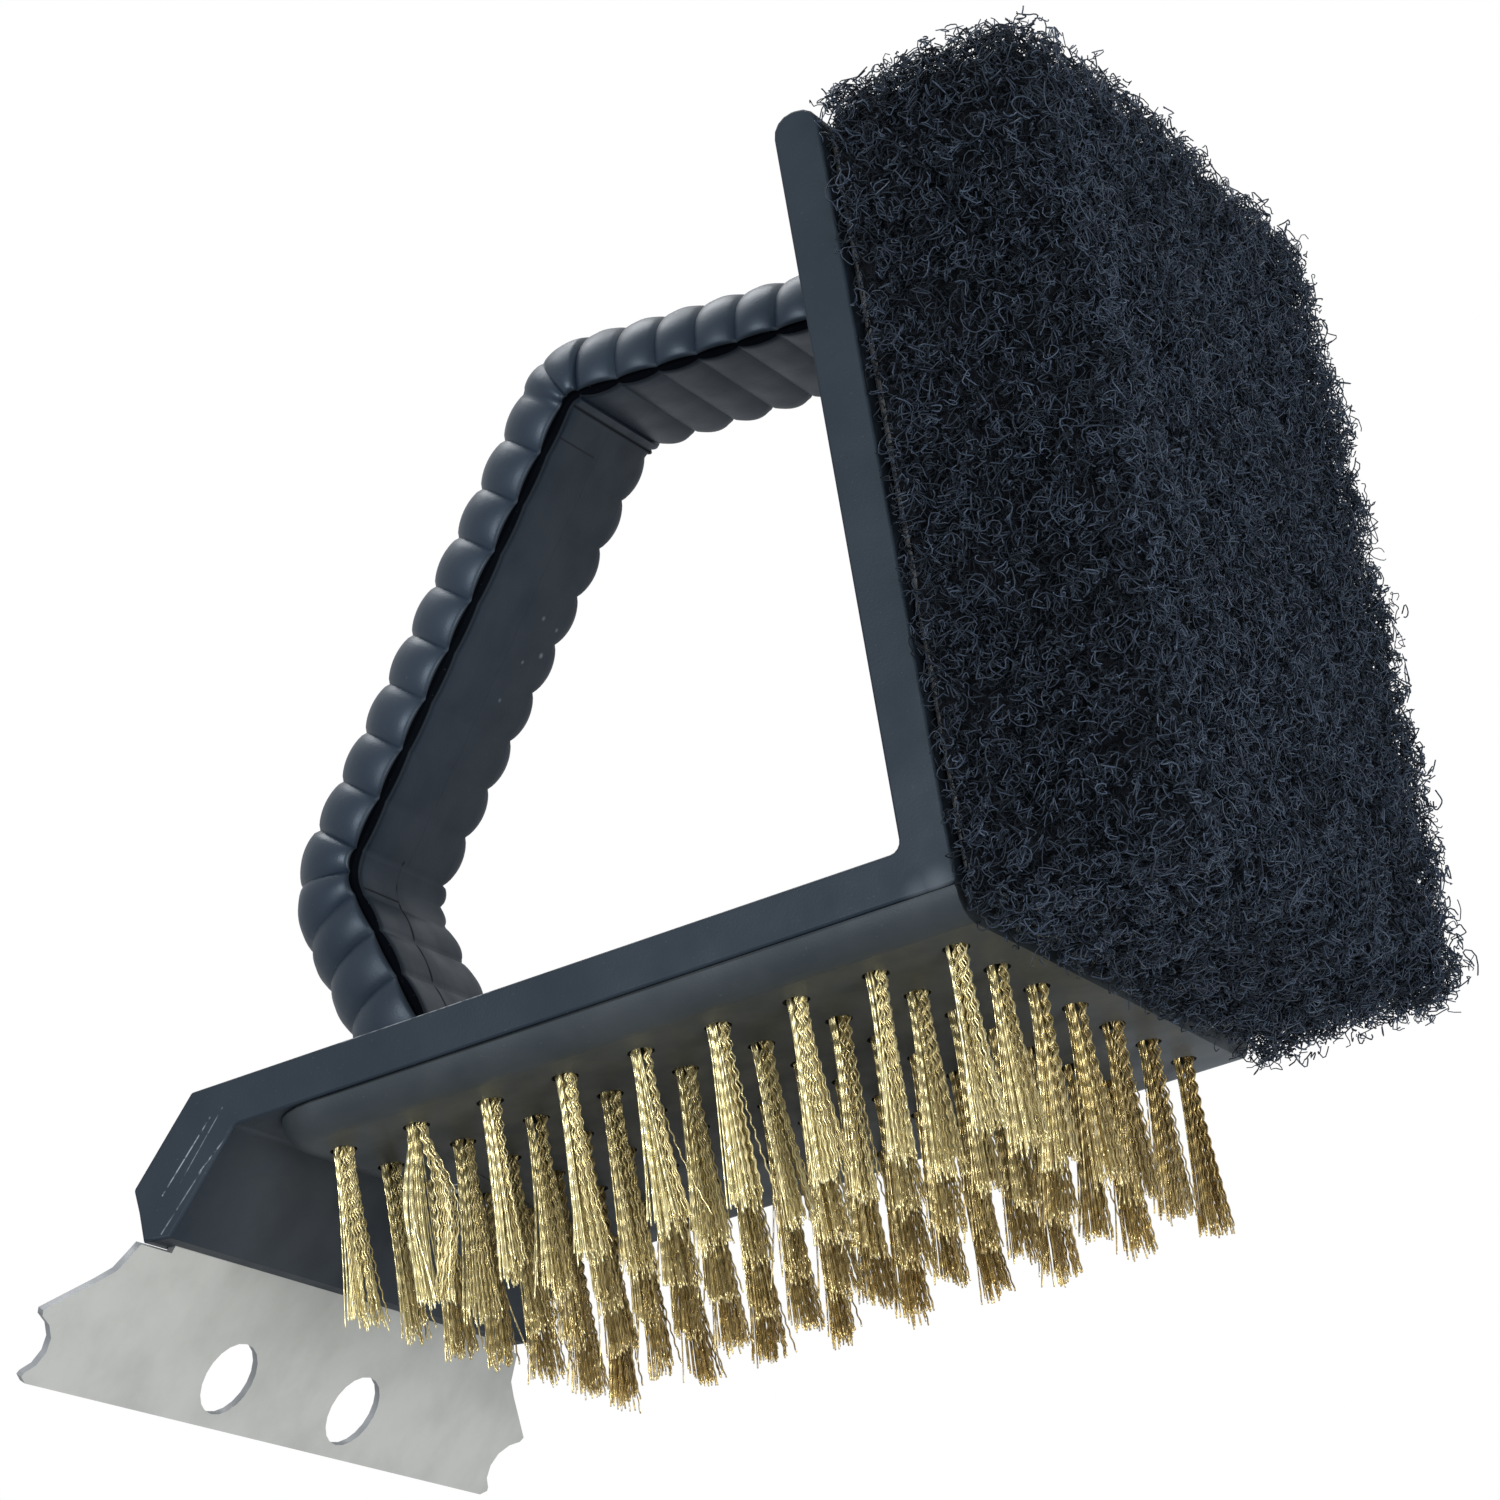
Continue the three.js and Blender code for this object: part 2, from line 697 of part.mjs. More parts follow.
addPart('body', buildBody(), materials.body);
addPart('bristle_block', buildBlock(), materials.block);
for (let row = 0; row < TUFT_ROWS; row += 1) {
  addPart(`tuft_row_${row + 1}`, buildTuftRow(row), materials.brass);
}
addPart('handle_near_half', buildHandleHalf(-1), materials.handle);
addPart('handle_far_half', buildHandleHalf(1), materials.handle);
SCREW_Y.forEach((y, order) => {
  addPart(`handle_top_screw_${order + 1}`, buildTopScrew(y), materials.screw);
  addPart(`handle_foot_screw_${order + 1}`, buildFootScrew(y), materials.screw);
});
addPart('scraper_blade', buildBlade(), materials.steel);
addPart('pad_adhesive', buildAdhesive(), materials.adhesive);
addPart('scour_pad', buildPad(), materials.pad);

export default group;
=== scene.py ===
"""Looks of the grill cleaning brush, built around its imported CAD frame.

Lengths in the builders below are millimetres in the row frame; MM turns them
into metres when a mesh is made.
"""

import math

import bmesh
import bpy
import numpy as np
from mathutils import Matrix, Vector


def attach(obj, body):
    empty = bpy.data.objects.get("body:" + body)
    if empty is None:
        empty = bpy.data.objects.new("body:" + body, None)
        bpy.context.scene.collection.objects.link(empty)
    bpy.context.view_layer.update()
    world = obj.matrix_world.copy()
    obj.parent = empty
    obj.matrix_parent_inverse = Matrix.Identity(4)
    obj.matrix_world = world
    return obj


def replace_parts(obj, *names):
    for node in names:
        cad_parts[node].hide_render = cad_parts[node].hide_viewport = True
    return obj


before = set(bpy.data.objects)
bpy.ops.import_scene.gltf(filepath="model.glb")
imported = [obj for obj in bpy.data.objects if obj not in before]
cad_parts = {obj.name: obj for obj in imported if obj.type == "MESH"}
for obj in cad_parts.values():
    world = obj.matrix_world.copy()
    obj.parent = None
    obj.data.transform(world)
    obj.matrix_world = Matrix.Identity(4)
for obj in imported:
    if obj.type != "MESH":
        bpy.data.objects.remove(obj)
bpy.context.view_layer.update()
MM = 0.001
TUFT_COLUMNS = 9
TUFT_ROWS = 7
TUFT_PITCH = 12.0
FIRST_TUFT_X = -46.3
BLOCK_UNDER_Z = 26.0
PLATE_TOP_Z = 30.2
PLATE_TOP_WITHIN = 0.05
PLATE_LIFT = 0.2
# The CAD holes in the block have their walls between these distances from the
# tuft's axis; the shown holes are tighter by the share below.
HOLE_WALL = (2.18, 2.36)
HOLE_SHARE = 0.84
# Points nearer than this are one point, in metres.
WELD = 0.00001
FLAT_WITHIN = math.radians(1.0)
SHARP_CAD_EDGE = math.radians(38.0)
SHARP_HANDLE_EDGE = math.radians(50.0)


# ------------------------------------------------------------------ node helpers
class Shader:
    """A material with one Principled shader and short names for adding nodes."""

    def __init__(self, name, **sockets):
        self.material = bpy.data.materials.new(name)
        self.material.use_nodes = True
        self.tree = self.material.node_tree
        self.principled = self.tree.nodes["Principled BSDF"]
        self.coords = None
        for label, value in sockets.items():
            self.principled.inputs[label.replace("_", " ")].default_value = value

    def node(self, kind, **inputs):
        made = self.tree.nodes.new(kind)
        for label, value in inputs.items():
            self.feed(made.inputs[label.replace("_", " ")], value)
        return made

    def feed(self, socket, value):
        if isinstance(value, bpy.types.NodeSocket):
            self.tree.links.new(value, socket)
        else:
            socket.default_value = value

    def position(self):
        if self.coords is None:
            self.coords = self.tree.nodes.new("ShaderNodeTexCoord").outputs["Object"]
        return self.coords

    def noise(self, scale, detail=3.0, roughness=0.5, stretch=None):
        vector = self.position()
        if stretch:
            mapping = self.node("ShaderNodeMapping", Vector=vector)
            mapping.inputs["Scale"].default_value = stretch
            vector = mapping.outputs["Vector"]
        made = self.node("ShaderNodeTexNoise", Vector=vector)
        made.inputs["Scale"].default_value = scale
        made.inputs["Detail"].default_value = detail
        made.inputs["Roughness"].default_value = roughness
        return made.outputs["Fac"]

    def span(self, value, low, high, to_low=0.0, to_high=1.0):
        made = self.node("ShaderNodeMapRange", Value=value)
        made.interpolation_type = "SMOOTHSTEP"
        made.inputs["From Min"].default_value = low
        made.inputs["From Max"].default_value = high
        made.inputs["To Min"].default_value = to_low
        made.inputs["To Max"].default_value = to_high
        return made.outputs["Result"]

    def math(self, operation, first, second=0.0):
        made = self.tree.nodes.new("ShaderNodeMath")
        made.operation = operation
        self.feed(made.inputs[0], first)
        self.feed(made.inputs[1], second)
        return made.outputs[0]

    def mix(self, share, first, second):
        made = self.tree.nodes.new("ShaderNodeMix")
        made.data_type = "RGBA"
        self.feed(made.inputs[0], share)
        self.feed(made.inputs[6], first)
        self.feed(made.inputs[7], second)
        return made.outputs[2]

    def ramp(self, value, *stops):
        made = self.node("ShaderNodeValToRGB", Fac=value)
        elements = made.color_ramp.elements
        while len(elements) < len(stops):
            elements.new(0.5)
        for element, (place, colour) in zip(elements, stops):
            element.position = place
            element.color = (*colour, 1.0)
        return made.outputs["Color"]

    def attribute(self, name):
        made = self.tree.nodes.new("ShaderNodeAttribute")
        made.attribute_name = name
        return made.outputs["Fac"]

    def bump(self, height, distance, strength=1.0, normal=None):
        made = self.node("ShaderNodeBump", Height=height)
        made.inputs["Distance"].default_value = distance
        made.inputs["Strength"].default_value = strength
        if normal is not None:
            self.feed(made.inputs["Normal"], normal)
        return made.outputs["Normal"]

    def spot(self, centre, radius):
        """1 at a point in millimetres, fading to 0 at the radius."""
        point = [c * MM for c in centre]
        away = self.vector("DISTANCE", self.position(), point, output="Value")
        return self.span(away, 0.0, radius * MM, 1.0, 0.0)

    def stroke(self, start, end, width):
        """1 on the line from start to end in millimetres, fading over width."""
        line = (Vector(end) - Vector(start)) * MM
        way = line.normalized()
        from_start = self.vector("SUBTRACT", self.position(), Vector(start) * MM)
        along = self.vector("DOT_PRODUCT", from_start, way, output="Value")
        share = self.math("DIVIDE", along, line.length)
        share = self.node("ShaderNodeClamp", Value=share).outputs[0]
        nearest = self.vector("SCALE", line, scale=share)
        gap = self.vector("DISTANCE", from_start, nearest, output="Value")
        return self.span(gap, 0.0, width * MM, 1.0, 0.0)

    def vector(self, operation, first, second=None, scale=None, output="Vector"):
        made = self.tree.nodes.new("ShaderNodeVectorMath")
        made.operation = operation
        self.feed(made.inputs[0], first)
        if second is not None:
            self.feed(made.inputs[1], second)
        if scale is not None:
            self.feed(made.inputs["Scale"], scale)
        return made.outputs[output]

    def finish(self, colour=None, roughness=None, normal=None):
        given = {"Base Color": colour, "Roughness": roughness, "Normal": normal}
        for label, value in given.items():
            if value is not None:
                self.feed(self.principled.inputs[label], value)
        return self.material


# ------------------------------------------------------------------ materials
BLUE_SHEEN = (0.72, 0.86, 1.0, 1.0)
# Pale colour of scuffs, also used for painted light and a painted highlight.
SCUFF_AND_LIGHT_COLOUR = (0.26, 0.29, 0.32, 1.0)
# Near black for dark lines on the handle and for painted shade in its creases and groove.
DARK_LINE_AND_SHADE_COLOUR = (0.0004, 0.0005, 0.001, 1.0)
# Brown for tarnish, also used as painted shade on the further tuft rows.
TARNISH_AND_SHADE_COLOUR = (0.26, 0.18, 0.08, 1.0)
SCRATCH_COLOUR = (0.36, 0.36, 0.35, 1.0)
# Specular level, lowest roughness and highest roughness of each plastic.
BODY_GLOSS = (0.22, 0.46, 0.60)
HANDLE_GLOSS = (0.40, 0.40, 0.53)
# The groove's painted-shade plastic is dull.
GROOVE_SHADE_GLOSS = (0.02, 0.80, 1.00)


def strongest(shader, masks):
    """The largest of several masks at each place."""
    most = masks[0]
    for mask in masks[1:]:
        most = shader.math("MAXIMUM", most, mask)
    return most


def stroke_masks(shader, strokes):
    """One mask for each stroke, at the stroke's strength."""
    return [
        shader.math("MULTIPLY", shader.stroke(start, end, width), strength)
        for start, end, width, strength in strokes
    ]


def scuff_and_light_mask(shader, strokes, spots):
    """Broken scratches, soft spots and fine specks, as one mask; some spots are painted
    light and one stroke is a painted highlight.
    """
    masks = []
    for mark in stroke_masks(shader, strokes):
        broken = shader.span(shader.noise(900.0), 0.35, 0.6)
        masks.append(shader.math("MULTIPLY", mark, broken))
    for centre, radius, strength in spots:
        spot = shader.spot(centre, radius)
        masks.append(shader.math("MULTIPLY", spot, strength))
    specks = shader.span(shader.noise(2600.0, 2.0), 0.70, 0.80)
    masks.append(shader.math("MULTIPLY", specks, 0.10))
    return strongest(shader, masks)


def plastic(name, dark, light, gloss, strokes=(), spots=(), dark_lines=(), grooved=False):
    """Satin moulded plastic with faint blotches, fine grain, pale scuffs and pale patches
    of painted light.

    Dark lines, some of them painted shade in creases, turn near black, and grooved adds
    painted shade in the groove from an attribute of the mesh.
    """
    level, smoothest, roughest = gloss
    s = Shader(name, IOR=1.5, Specular_IOR_Level=level, Specular_Tint=BLUE_SHEEN)
    blotch = s.noise(55.0, 3.0, 0.6)
    colour = s.mix(s.span(blotch, 0.35, 0.7), (*dark, 1.0), (*light, 1.0))
    colour = s.mix(scuff_and_light_mask(s, strokes, spots), colour, SCUFF_AND_LIGHT_COLOUR)
    roughness = s.span(s.noise(140.0, 4.0), 0.3, 0.75, smoothest, roughest)
    # Dark lines, and with grooved the painted shade of the groove, turn the colour near
    # black and rough.
    dark_masks = stroke_masks(s, dark_lines)
    if grooved:
        dark_masks.append(s.attribute("groove_shade"))
    if dark_masks:
        depth = strongest(s, dark_masks)
        colour = s.mix(depth, colour, DARK_LINE_AND_SHADE_COLOUR)
        roughness = s.math("MAXIMUM", roughness, depth)
    waves = s.bump(s.noise(90.0, 2.0), 0.0004, 0.35)
    grain = s.bump(s.noise(3200.0, 2.0), 0.00004, 0.5, waves)
    return s.finish(colour, roughness, grain)


def brass(name, shade_low, shade_high, tarnish_and_shade):
    """Crimped brass wire: each wire has its own shade, dulled in places, partly by tarnish
    and partly by painted shade on the further rows.
    """
    s = Shader(name, Metallic=0.88, Roughness=0.30)
    shade = s.attribute("shade")
    colour = s.ramp(shade, (0.0, shade_low), (1.0, shade_high))
    dull = s.span(s.noise(420.0, 3.0), 0.45, 0.75, 0.0, tarnish_and_shade)
    colour = s.mix(dull, colour, TARNISH_AND_SHADE_COLOUR)
    roughness = s.span(s.noise(600.0, 2.0), 0.3, 0.7, 0.24, 0.44)
    return s.finish(colour, roughness)


def steel(name, low, high, scratch, metal):
    """Plain rolled steel with faint rolling marks and grey smudges."""
    s = Shader(name, Metallic=metal, Roughness=0.42)
    smudge = s.noise(70.0, 4.0, 0.6)
    colour = s.mix(s.span(smudge, 0.35, 0.72), (*high, 1.0), (*low, 1.0))
    marks = s.span(s.noise(240.0, 3.0, 0.6, (1.0, 9.0, 1.0)), 0.60, 0.76, 0.0, scratch)
    colour = s.mix(marks, colour, SCRATCH_COLOUR)
    roughness = s.span(s.noise(180.0, 4.0), 0.3, 0.7, 0.36, 0.55)
    rolled = s.bump(s.noise(700.0, 3.0, 0.5, (1.0, 12.0, 1.0)), 0.00003, 0.6)
    return s.finish(colour, roughness, rolled)


def web_fibre(name):
    """Resin-coated black fibre with a blue-grey sheen on its bends; its paler shades are
    partly painted highlight.
    """
    s = Shader(name, IOR=1.5, Specular_IOR_Level=0.24, Specular_Tint=BLUE_SHEEN)
    shade = s.attribute("shade")
    darkest = (0.0016, 0.0024, 0.0042)
    # The palest shade, which the outer fibres get, stands in partly for their glints:
    # painted highlight.
    palest = (0.036, 0.049, 0.074)
    colour = s.ramp(shade, (0.0, darkest), (1.0, palest))
    roughness = s.span(shade, 0.0, 0.8, 0.80, 0.30)
    return s.finish(colour, roughness)


def web_core(name):
    """The dense inside of the scouring web, seen between the fibres."""
    s = Shader(name, Roughness=0.9, IOR=1.4, Specular_IOR_Level=0.15)
    strands = s.noise(900.0, 4.0, 0.7)
    darkest = (0.001, 0.0014, 0.0022)
    palest = (0.007, 0.009, 0.013)
    colour = s.ramp(strands, (0.35, darkest), (0.75, palest))
    return s.finish(colour, None, s.bump(strands, 0.0010, 0.9))


def plain(name, colour, roughness):
    """One colour, a little darker in places."""
    s = Shader(name, Roughness=roughness)
    tint = s.span(s.noise(300.0), 0.3, 0.7, 0.85, 1.0)
    mixed = s.mix(tint, (0.0, 0.0, 0.0, 1.0), (*colour, 1.0))
    return s.finish(mixed)


# ------------------------------------------------------------------ mesh helpers
def add_object(name, mesh, material):
    """A piece of one material that rides on the brush's only body."""
    obj = bpy.data.objects.new(name, mesh)
    bpy.context.scene.collection.objects.link(obj)
    mesh.materials.clear()
    mesh.materials.append(material)
    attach(obj, "root")
    return obj


def mesh_from_arrays(name, points, faces, values=None, label="shade"):
    """A smooth mesh from points in millimetres and a list of face arrays.

    values, one for each point, are kept as an attribute for the material.
    """
    mesh = bpy.data.meshes.new(name)
    corners = np.concatenate([f.ravel() for f in faces]).astype(np.int32)
    sizes = np.concatenate([np.full(len(f), f.shape[1], np.int32) for f in faces])
    starts = np.concatenate([[0], np.cumsum(sizes)[:-1]]).astype(np.int32)
    mesh.vertices.add(len(points))
    mesh.vertices.foreach_set("co", (points * MM).astype(np.float32).ravel())
    mesh.loops.add(len(corners))
    mesh.loops.foreach_set("vertex_index", corners)
    mesh.polygons.add(len(sizes))
    mesh.polygons.foreach_set("loop_start", starts)
    mesh.update(calc_edges=True)
    mesh.polygons.foreach_set("use_smooth", np.ones(len(sizes), bool))
    if values is not None:
        layer = mesh.attributes.new(label, "FLOAT", "POINT")
        layer.data.foreach_set("value", values.astype(np.float32))
    return mesh


def unit(vectors):
    """The vectors at length one."""
    return vectors / (np.linalg.norm(vectors, axis=-1, keepdims=True) + 1e-12)


def tubes(paths, radii, sides, rng):
    """Closed tubes along many paths at once.

    paths is (tubes, stations, 3) and radii is (tubes, stations).
    """
    count, stations, _ = paths.shape
    tangents = unit(np.gradient(paths, axis=1))
    side = np.cross(tangents[:, 0], rng.normal(size=(count, 3)))
    across = np.empty_like(paths)
    across[:, 0] = unit(side)
    for k in range(1, stations):
        lean = np.sum(across[:, k - 1] * tangents[:, k], axis=1, keepdims=True)
        across[:, k] = unit(across[:, k - 1] - tangents[:, k] * lean)
    over = np.cross(tangents, across)
    angles = 2 * np.pi * np.arange(sides) / sides
    ring = (
        across[:, :, None, :] * np.cos(angles)[None, None, :, None]
        + over[:, :, None, :] * np.sin(angles)[None, None, :, None]
    )
    points = paths[:, :, None, :] + ring * radii[:, :, None, None]
    base = (np.arange(count) * stations * sides)[:, None, None]
    row = (np.arange(stations - 1) * sides)[None, :, None]
    turn = np.arange(sides)[None, None, :]
    after = (turn + 1) % sides
    a = base + row + turn
    b = base + row + after
    quads = np.stack([a, b, b + sides, a + sides], axis=-1).reshape(-1, 4)
    first = (np.arange(count) * stations * sides)[:, None]
    last = first + (stations - 1) * sides
    low = first + np.arange(sides)[None, ::-1]
    high = last + np.arange(sides)[None, :]
    return points.reshape(-1, 3), [quads, low, high]


def tidy_copy(node, name, material, reshape=None):
    """A smooth-edged copy of a CAD node that stands for it.

    reshape may move a vertex; it gets and gives its place in millimetres.
    """
    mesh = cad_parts[node].data.copy()
    mesh.name = name
    work = bmesh.new()
    work.from_mesh(mesh)
    bmesh.ops.remove_doubles(work, verts=work.verts, dist=WELD)
    bmesh.ops.dissolve_limit(
        work,
        angle_limit=FLAT_WITHIN,
        verts=work.verts,
        edges=work.edges,
    )
    if reshape:
        for vertex in work.verts:
            vertex.co = reshape(vertex.co / MM) * MM
    work.to_mesh(mesh)
    work.free()
    mesh.polygons.foreach_set("use_smooth", np.ones(len(mesh.polygons), bool))
    mesh.set_sharp_from_angle(angle=SHARP_CAD_EDGE)
    obj = add_object(name, mesh, material)
    weighted = obj.modifiers.new("normals", "WEIGHTED_NORMAL")
    weighted.keep_sharp = True
    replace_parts(obj, node)
    return obj


def closer_fit(place):
    """Tighten the block's holes round the tufts and lift its top to the body."""
    column = round((place.x - FIRST_TUFT_X) / TUFT_PITCH)
    row = round(place.y / TUFT_PITCH)
    axis = Vector((FIRST_TUFT_X + column * TUFT_PITCH, row * TUFT_PITCH, place.z))
    away = place - axis
    if HOLE_WALL[0] < away.length < HOLE_WALL[1]:
        return axis + away * HOLE_SHARE
    if abs(place.z - PLATE_TOP_Z) < PLATE_TOP_WITHIN:
        return Vector((place.x, place.y, PLATE_TOP_Z + PLATE_LIFT))
    return place


def darken_edges(obj, material):
    """Give the thin sides of a flat sheet their own material."""
    obj.data.materials.append(material)
    broad = max(obj.data.polygons, key=lambda face: face.area).normal.copy()
    for face in obj.data.polygons:
        if abs(face.normal.dot(broad)) < 0.5:
            face.material_index = 1


# ------------------------------------------------------------------ handle
# Corners of the inner face's centre line: x, z and the radius of the bend there.
HANDLE_LINE = [
    (-34.31, 22.0, 0.0),
    (-53.48, 75.86, 6.0),
    (-5.81, 135.4, 2.0),
    (62.0, 129.96, 0.0),
]
HANDLE_FOOT_Z = 37.4
HANDLE_END_X = 48.8
# Where beads meet along each stretch, the section's height at its ends, how far
# the beads show as ribs on the flat inner face, and how deep they are cut.
LOWER_ARM = ([0, 0.12, 0.24, 0.40, 0.56, 0.72, 0.87, 1], (1.18, 1.12), 0.50, 1.0)
LOWER_BEND = ([0, 0.5, 1], (1.12, 1.04), 0.04, 0.8)
GRIP = ([k / 9 for k in range(10)], (1.04, 0.98), 0.24, 1.0)
TOP_BEND = ([0, 0.4, 1], (0.98, 0.94), 0.10, 0.45)
UPPER_ARM = ([k / 10 for k in range(11)], (0.94, 0.78), 0.75, 1.0)
STRETCHES = [LOWER_ARM, LOWER_BEND, GRIP, TOP_BEND, UPPER_ARM]
# How far the surface draws in where beads meet, and the height over the inner
# face that it draws in towards. A lower roundness makes sharper valleys.
BEAD_DEPTH = 1.15
BEAD_ROUNDNESS = 0.62
STEPS_PER_BEAD = 12
SECTION_CENTRE = 5.0
# Points below this height are on the inner face, and move with the ribs.
INNER_FACE_HEIGHT = 0.3
RIB_LEVEL = 0.35
# Faces whose points all have more painted shade than this get the groove's near-black
# material.
GROOVE_SHADE_CUTOFF = 0.85
# Half of the gap between the two halves.
SEAM = 0.012
# Half of the outer section: across, height over the inner face.
BEAD_SECTION = [
    (13.15, 1.7),
    (13.3, 2.8),
    (13.25, 4.4),
    (12.9, 6.1),
    (12.25, 7.9),
    (11.2, 9.5),
    (9.8, 11.0),
    (8.1, 12.15),
    (6.2, 13.0),
    (4.2, 13.55),
    (2.1, 13.9),
    (SEAM, 14.0),
]
# Points of the inner face and its edge: across, height, bead share, darkness; the darkness
# is painted shade in the groove beside the beads.
NEAR_FACE = [
    (SEAM, 0.0, 0.0, 0.0),
    (4.0, 0.0, 0.0, 0.0),
    (8.0, 0.0, 0.0, 0.0),
    (10.2, 0.01, 0.0, 0.0),
    (10.8, 0.08, 0.0, 0.45),
    (11.25, 0.29, 0.0, 1.0),
    (11.6, 1.2, 0.0, 1.0),
    (12.0, 1.5, 0.2, 1.0),
    (12.5, 1.1, 0.6, 0.9),
    (12.9, 1.25, 0.9, 0.4),
]
FAR_FACE = [
    (SEAM, 0.0, 0.0, 0.0),
    (4.0, 0.0, 0.0, 0.0),
    (8.0, 0.0, 0.0, 0.0),
    (10.2, 0.0, 0.3, 0.0),
    (11.5, 0.02, 1.0, 0.0),
    (12.3, 0.22, 1.7, 0.0),
    (12.8, 0.75, 1.4, 0.0),
]


def handle_stretches():
    """Straight and curved pieces of the inner face's centre line."""
    corners = [np.array(c[:2]) for c in HANDLE_LINE]
    made = []
    start = corners[0]
    for i in range(1, len(corners)):
        along = unit(corners[i] - corners[i - 1])
        if i == len(corners) - 1:
            made.append(("line", start, corners[i], along, 0.0, 0.0))
            break
        following = unit(corners[i + 1] - corners[i])
        turn = math.acos(float(np.clip(along @ following, -1, 1)))
        radius = HANDLE_LINE[i][2]
        setback = radius * math.tan(turn / 2)
        bend = corners[i] - along * setback
        made.append(("line", start, bend, along, 0.0, 0.0))
        centre = bend + np.array([along[1], -along[0]]) * radius
        made.append(("arc", centre, None, along, radius, turn))
        start = corners[i] + following * setback
    return made


def handle_station(stretch, share):
    """A point of the centre line, part way along a stretch, and its way out."""
    kind, first, last, along, radius, turn = stretch
    outward = np.array([-along[1], along[0]])
    if kind == "line":
        return first + (last - first) * share, outward
    c, s = math.cos(-turn * share), math.sin(-turn * share)
    turned = np.array([c * outward[0] - s * outward[1], s * outward[0] + c * outward[1]])
    return first + turned * radius, turned


def paint_groove_shade(obj, material):
    """Give the faces inside the groove beside the beads their own near-black material, as
    painted shade.
    """
    obj.data.materials.append(material)
    darkness = np.empty(len(obj.data.vertices), np.float32)
    obj.data.attributes["groove_shade"].data.foreach_get("value", darkness)
    for face in obj.data.polygons:
        if darkness[list(face.vertices)].min() > GROOVE_SHADE_CUTOFF:
            face.material_index = 1


def bead_stations():
    """Where the section stands along the handle, with its dip, size and ribs."""
    made = []
    for stretch, (edges, scale, ribs, cut) in zip(handle_stretches(), STRETCHES):
        for low, high in zip(edges, edges[1:]):
            for k in range(STEPS_PER_BEAD):
                bump = k / STEPS_PER_BEAD
                share = low + (high - low) * bump
                point, outward = handle_station(stretch, share)
                arch = abs(math.sin(math.pi * bump)) ** BEAD_ROUNDNESS
                size = scale[0] + (scale[1] - scale[0]) * share
                made.append((point, outward, cut * (1 - arch), size, ribs))
    return made


def section_ring(station, section, side):
    """One ring of the handle's surface, drawn in where two beads meet."""
    point, outward, dip, size, ribs = station
    ring = []
    for across, height, share, _ in section:
        depth = BEAD_DEPTH * dip * share
        above = height - SECTION_CENTRE
        reach = math.hypot(across, above)
        u = across * (1 - depth / reach)
        v = height - (depth * above / reach if above > 0 else 0)
        if height < INNER_FACE_HEIGHT:
            v += ribs * (dip - RIB_LEVEL)
        v *= size
        ring.append((point[0] + outward[0] * v, side * u, point[1] + outward[1] * v))
    return ring


def ring_faces(count, width):
    """Quads between rings of points, and a cap on each end."""
    a = (np.arange(count - 1)[:, None] * width + np.arange(width)[None, :]).ravel()
    step = np.tile(np.arange(width), count - 1)
    b = a - step + (step + 1) % width
    quads = np.stack([a, b, b + width, a + width], axis=-1)
    low = np.arange(width)[None, ::-1]
    high = ((count - 1) * width + np.arange(width))[None, :]
    return [quads, low, high]


def trim_ends(mesh):
    """Cut both ends of the handle flat, just clear of the body."""
    work = bmesh.new()
    work.from_mesh(mesh)
    foot = ((0, 0, HANDLE_FOOT_Z * MM), (0, 0, -1))
    top = ((HANDLE_END_X * MM, 0, 0), (1, 0, 0))
    for point, normal in (foot, top):
        geometry = work.verts[:] + work.edges[:] + work.faces[:]
        cut = bmesh.ops.bisect_plane(
            work, geom=geometry, plane_co=point, plane_no=normal, clear_outer=True
        )
        rim = [e for e in cut["geom_cut"] if isinstance(e, bmesh.types.BMEdge)]
        bmesh.ops.holes_fill(work, edges=rim, sides=0)
    bmesh.ops.recalc_face_normals(work, faces=work.faces)
    work.to_mesh(mesh)
    work.free()


def handle_half(side, name, material):
    """One beaded half, closed along the mid-plane."""
    face = NEAR_FACE if side < 0 else FAR_FACE
    section = face + [(u, v, 1.0, 0.0) for u, v in BEAD_SECTION]
    rings = [section_ring(station, section, side) for station in bead_stations()]
    points = np.array(rings).reshape(-1, 3)
    # Each point's painted shade in the groove, kept for the material.
    groove_shade = np.tile([dark for _, _, _, dark in section], len(rings))
    faces = ring_faces(len(rings), len(section))
    if side < 0:
        faces = [f[:, ::-1] for f in faces]
    mesh = mesh_from_arrays(name, points, faces, groove_shade, "groove_shade")
    trim_ends(mesh)
    mesh.polygons.foreach_set("use_smooth", np.ones(len(mesh.polygons), bool))
    mesh.set_sharp_from_angle(angle=SHARP_HANDLE_EDGE)
    return add_object(name, mesh, material)


# ------------------------------------------------------------------ tufts
TUFT_SEED = 400
TUBE_SIDES = 3
WIRES = 60
WIRE_R = 0.135
WIRE_STATIONS = 60
WIRE_START_Z = 28.2
CRIMP_LENGTH = 2.05
CRIMP_HEIGHT = 0.18
TUFT_ROOT_R = 1.08
WISPS = 6
# Crimp directions of the two legs of a tuft, and how far the crimps of wires
# side by side are staggered, which gives the plaited look.
LEG_TURNS = (2.03, 0.46)
STAGGER = 2.0
# One tuft at the near scraper end is crushed: it bulges towards +X halfway down.
CRUSHED = (1, 0)


def sunflower(count, radius):
    """Evenly packed points in a circle."""
    k = np.arange(count) + 0.5
    turn = np.pi * (3 - math.sqrt(5)) * k
    reach = radius * np.sqrt(k / count)
    return np.stack([reach * np.cos(turn), reach * np.sin(turn)], axis=-1)


def tuft_roots(rng):
    """Where the wires leave the block, and which leg of the tuft each is in."""
    root = sunflower(WIRES, TUFT_ROOT_R) + rng.normal(0, 0.06, (WIRES, 2))
    slot_turn = rng.normal(0.40, 0.20)
    slot = np.array([math.cos(slot_turn), math.sin(slot_turn)])
    side = root @ slot
    right = side > rng.normal(-0.10, 0.22)
    return root, slot, side, right


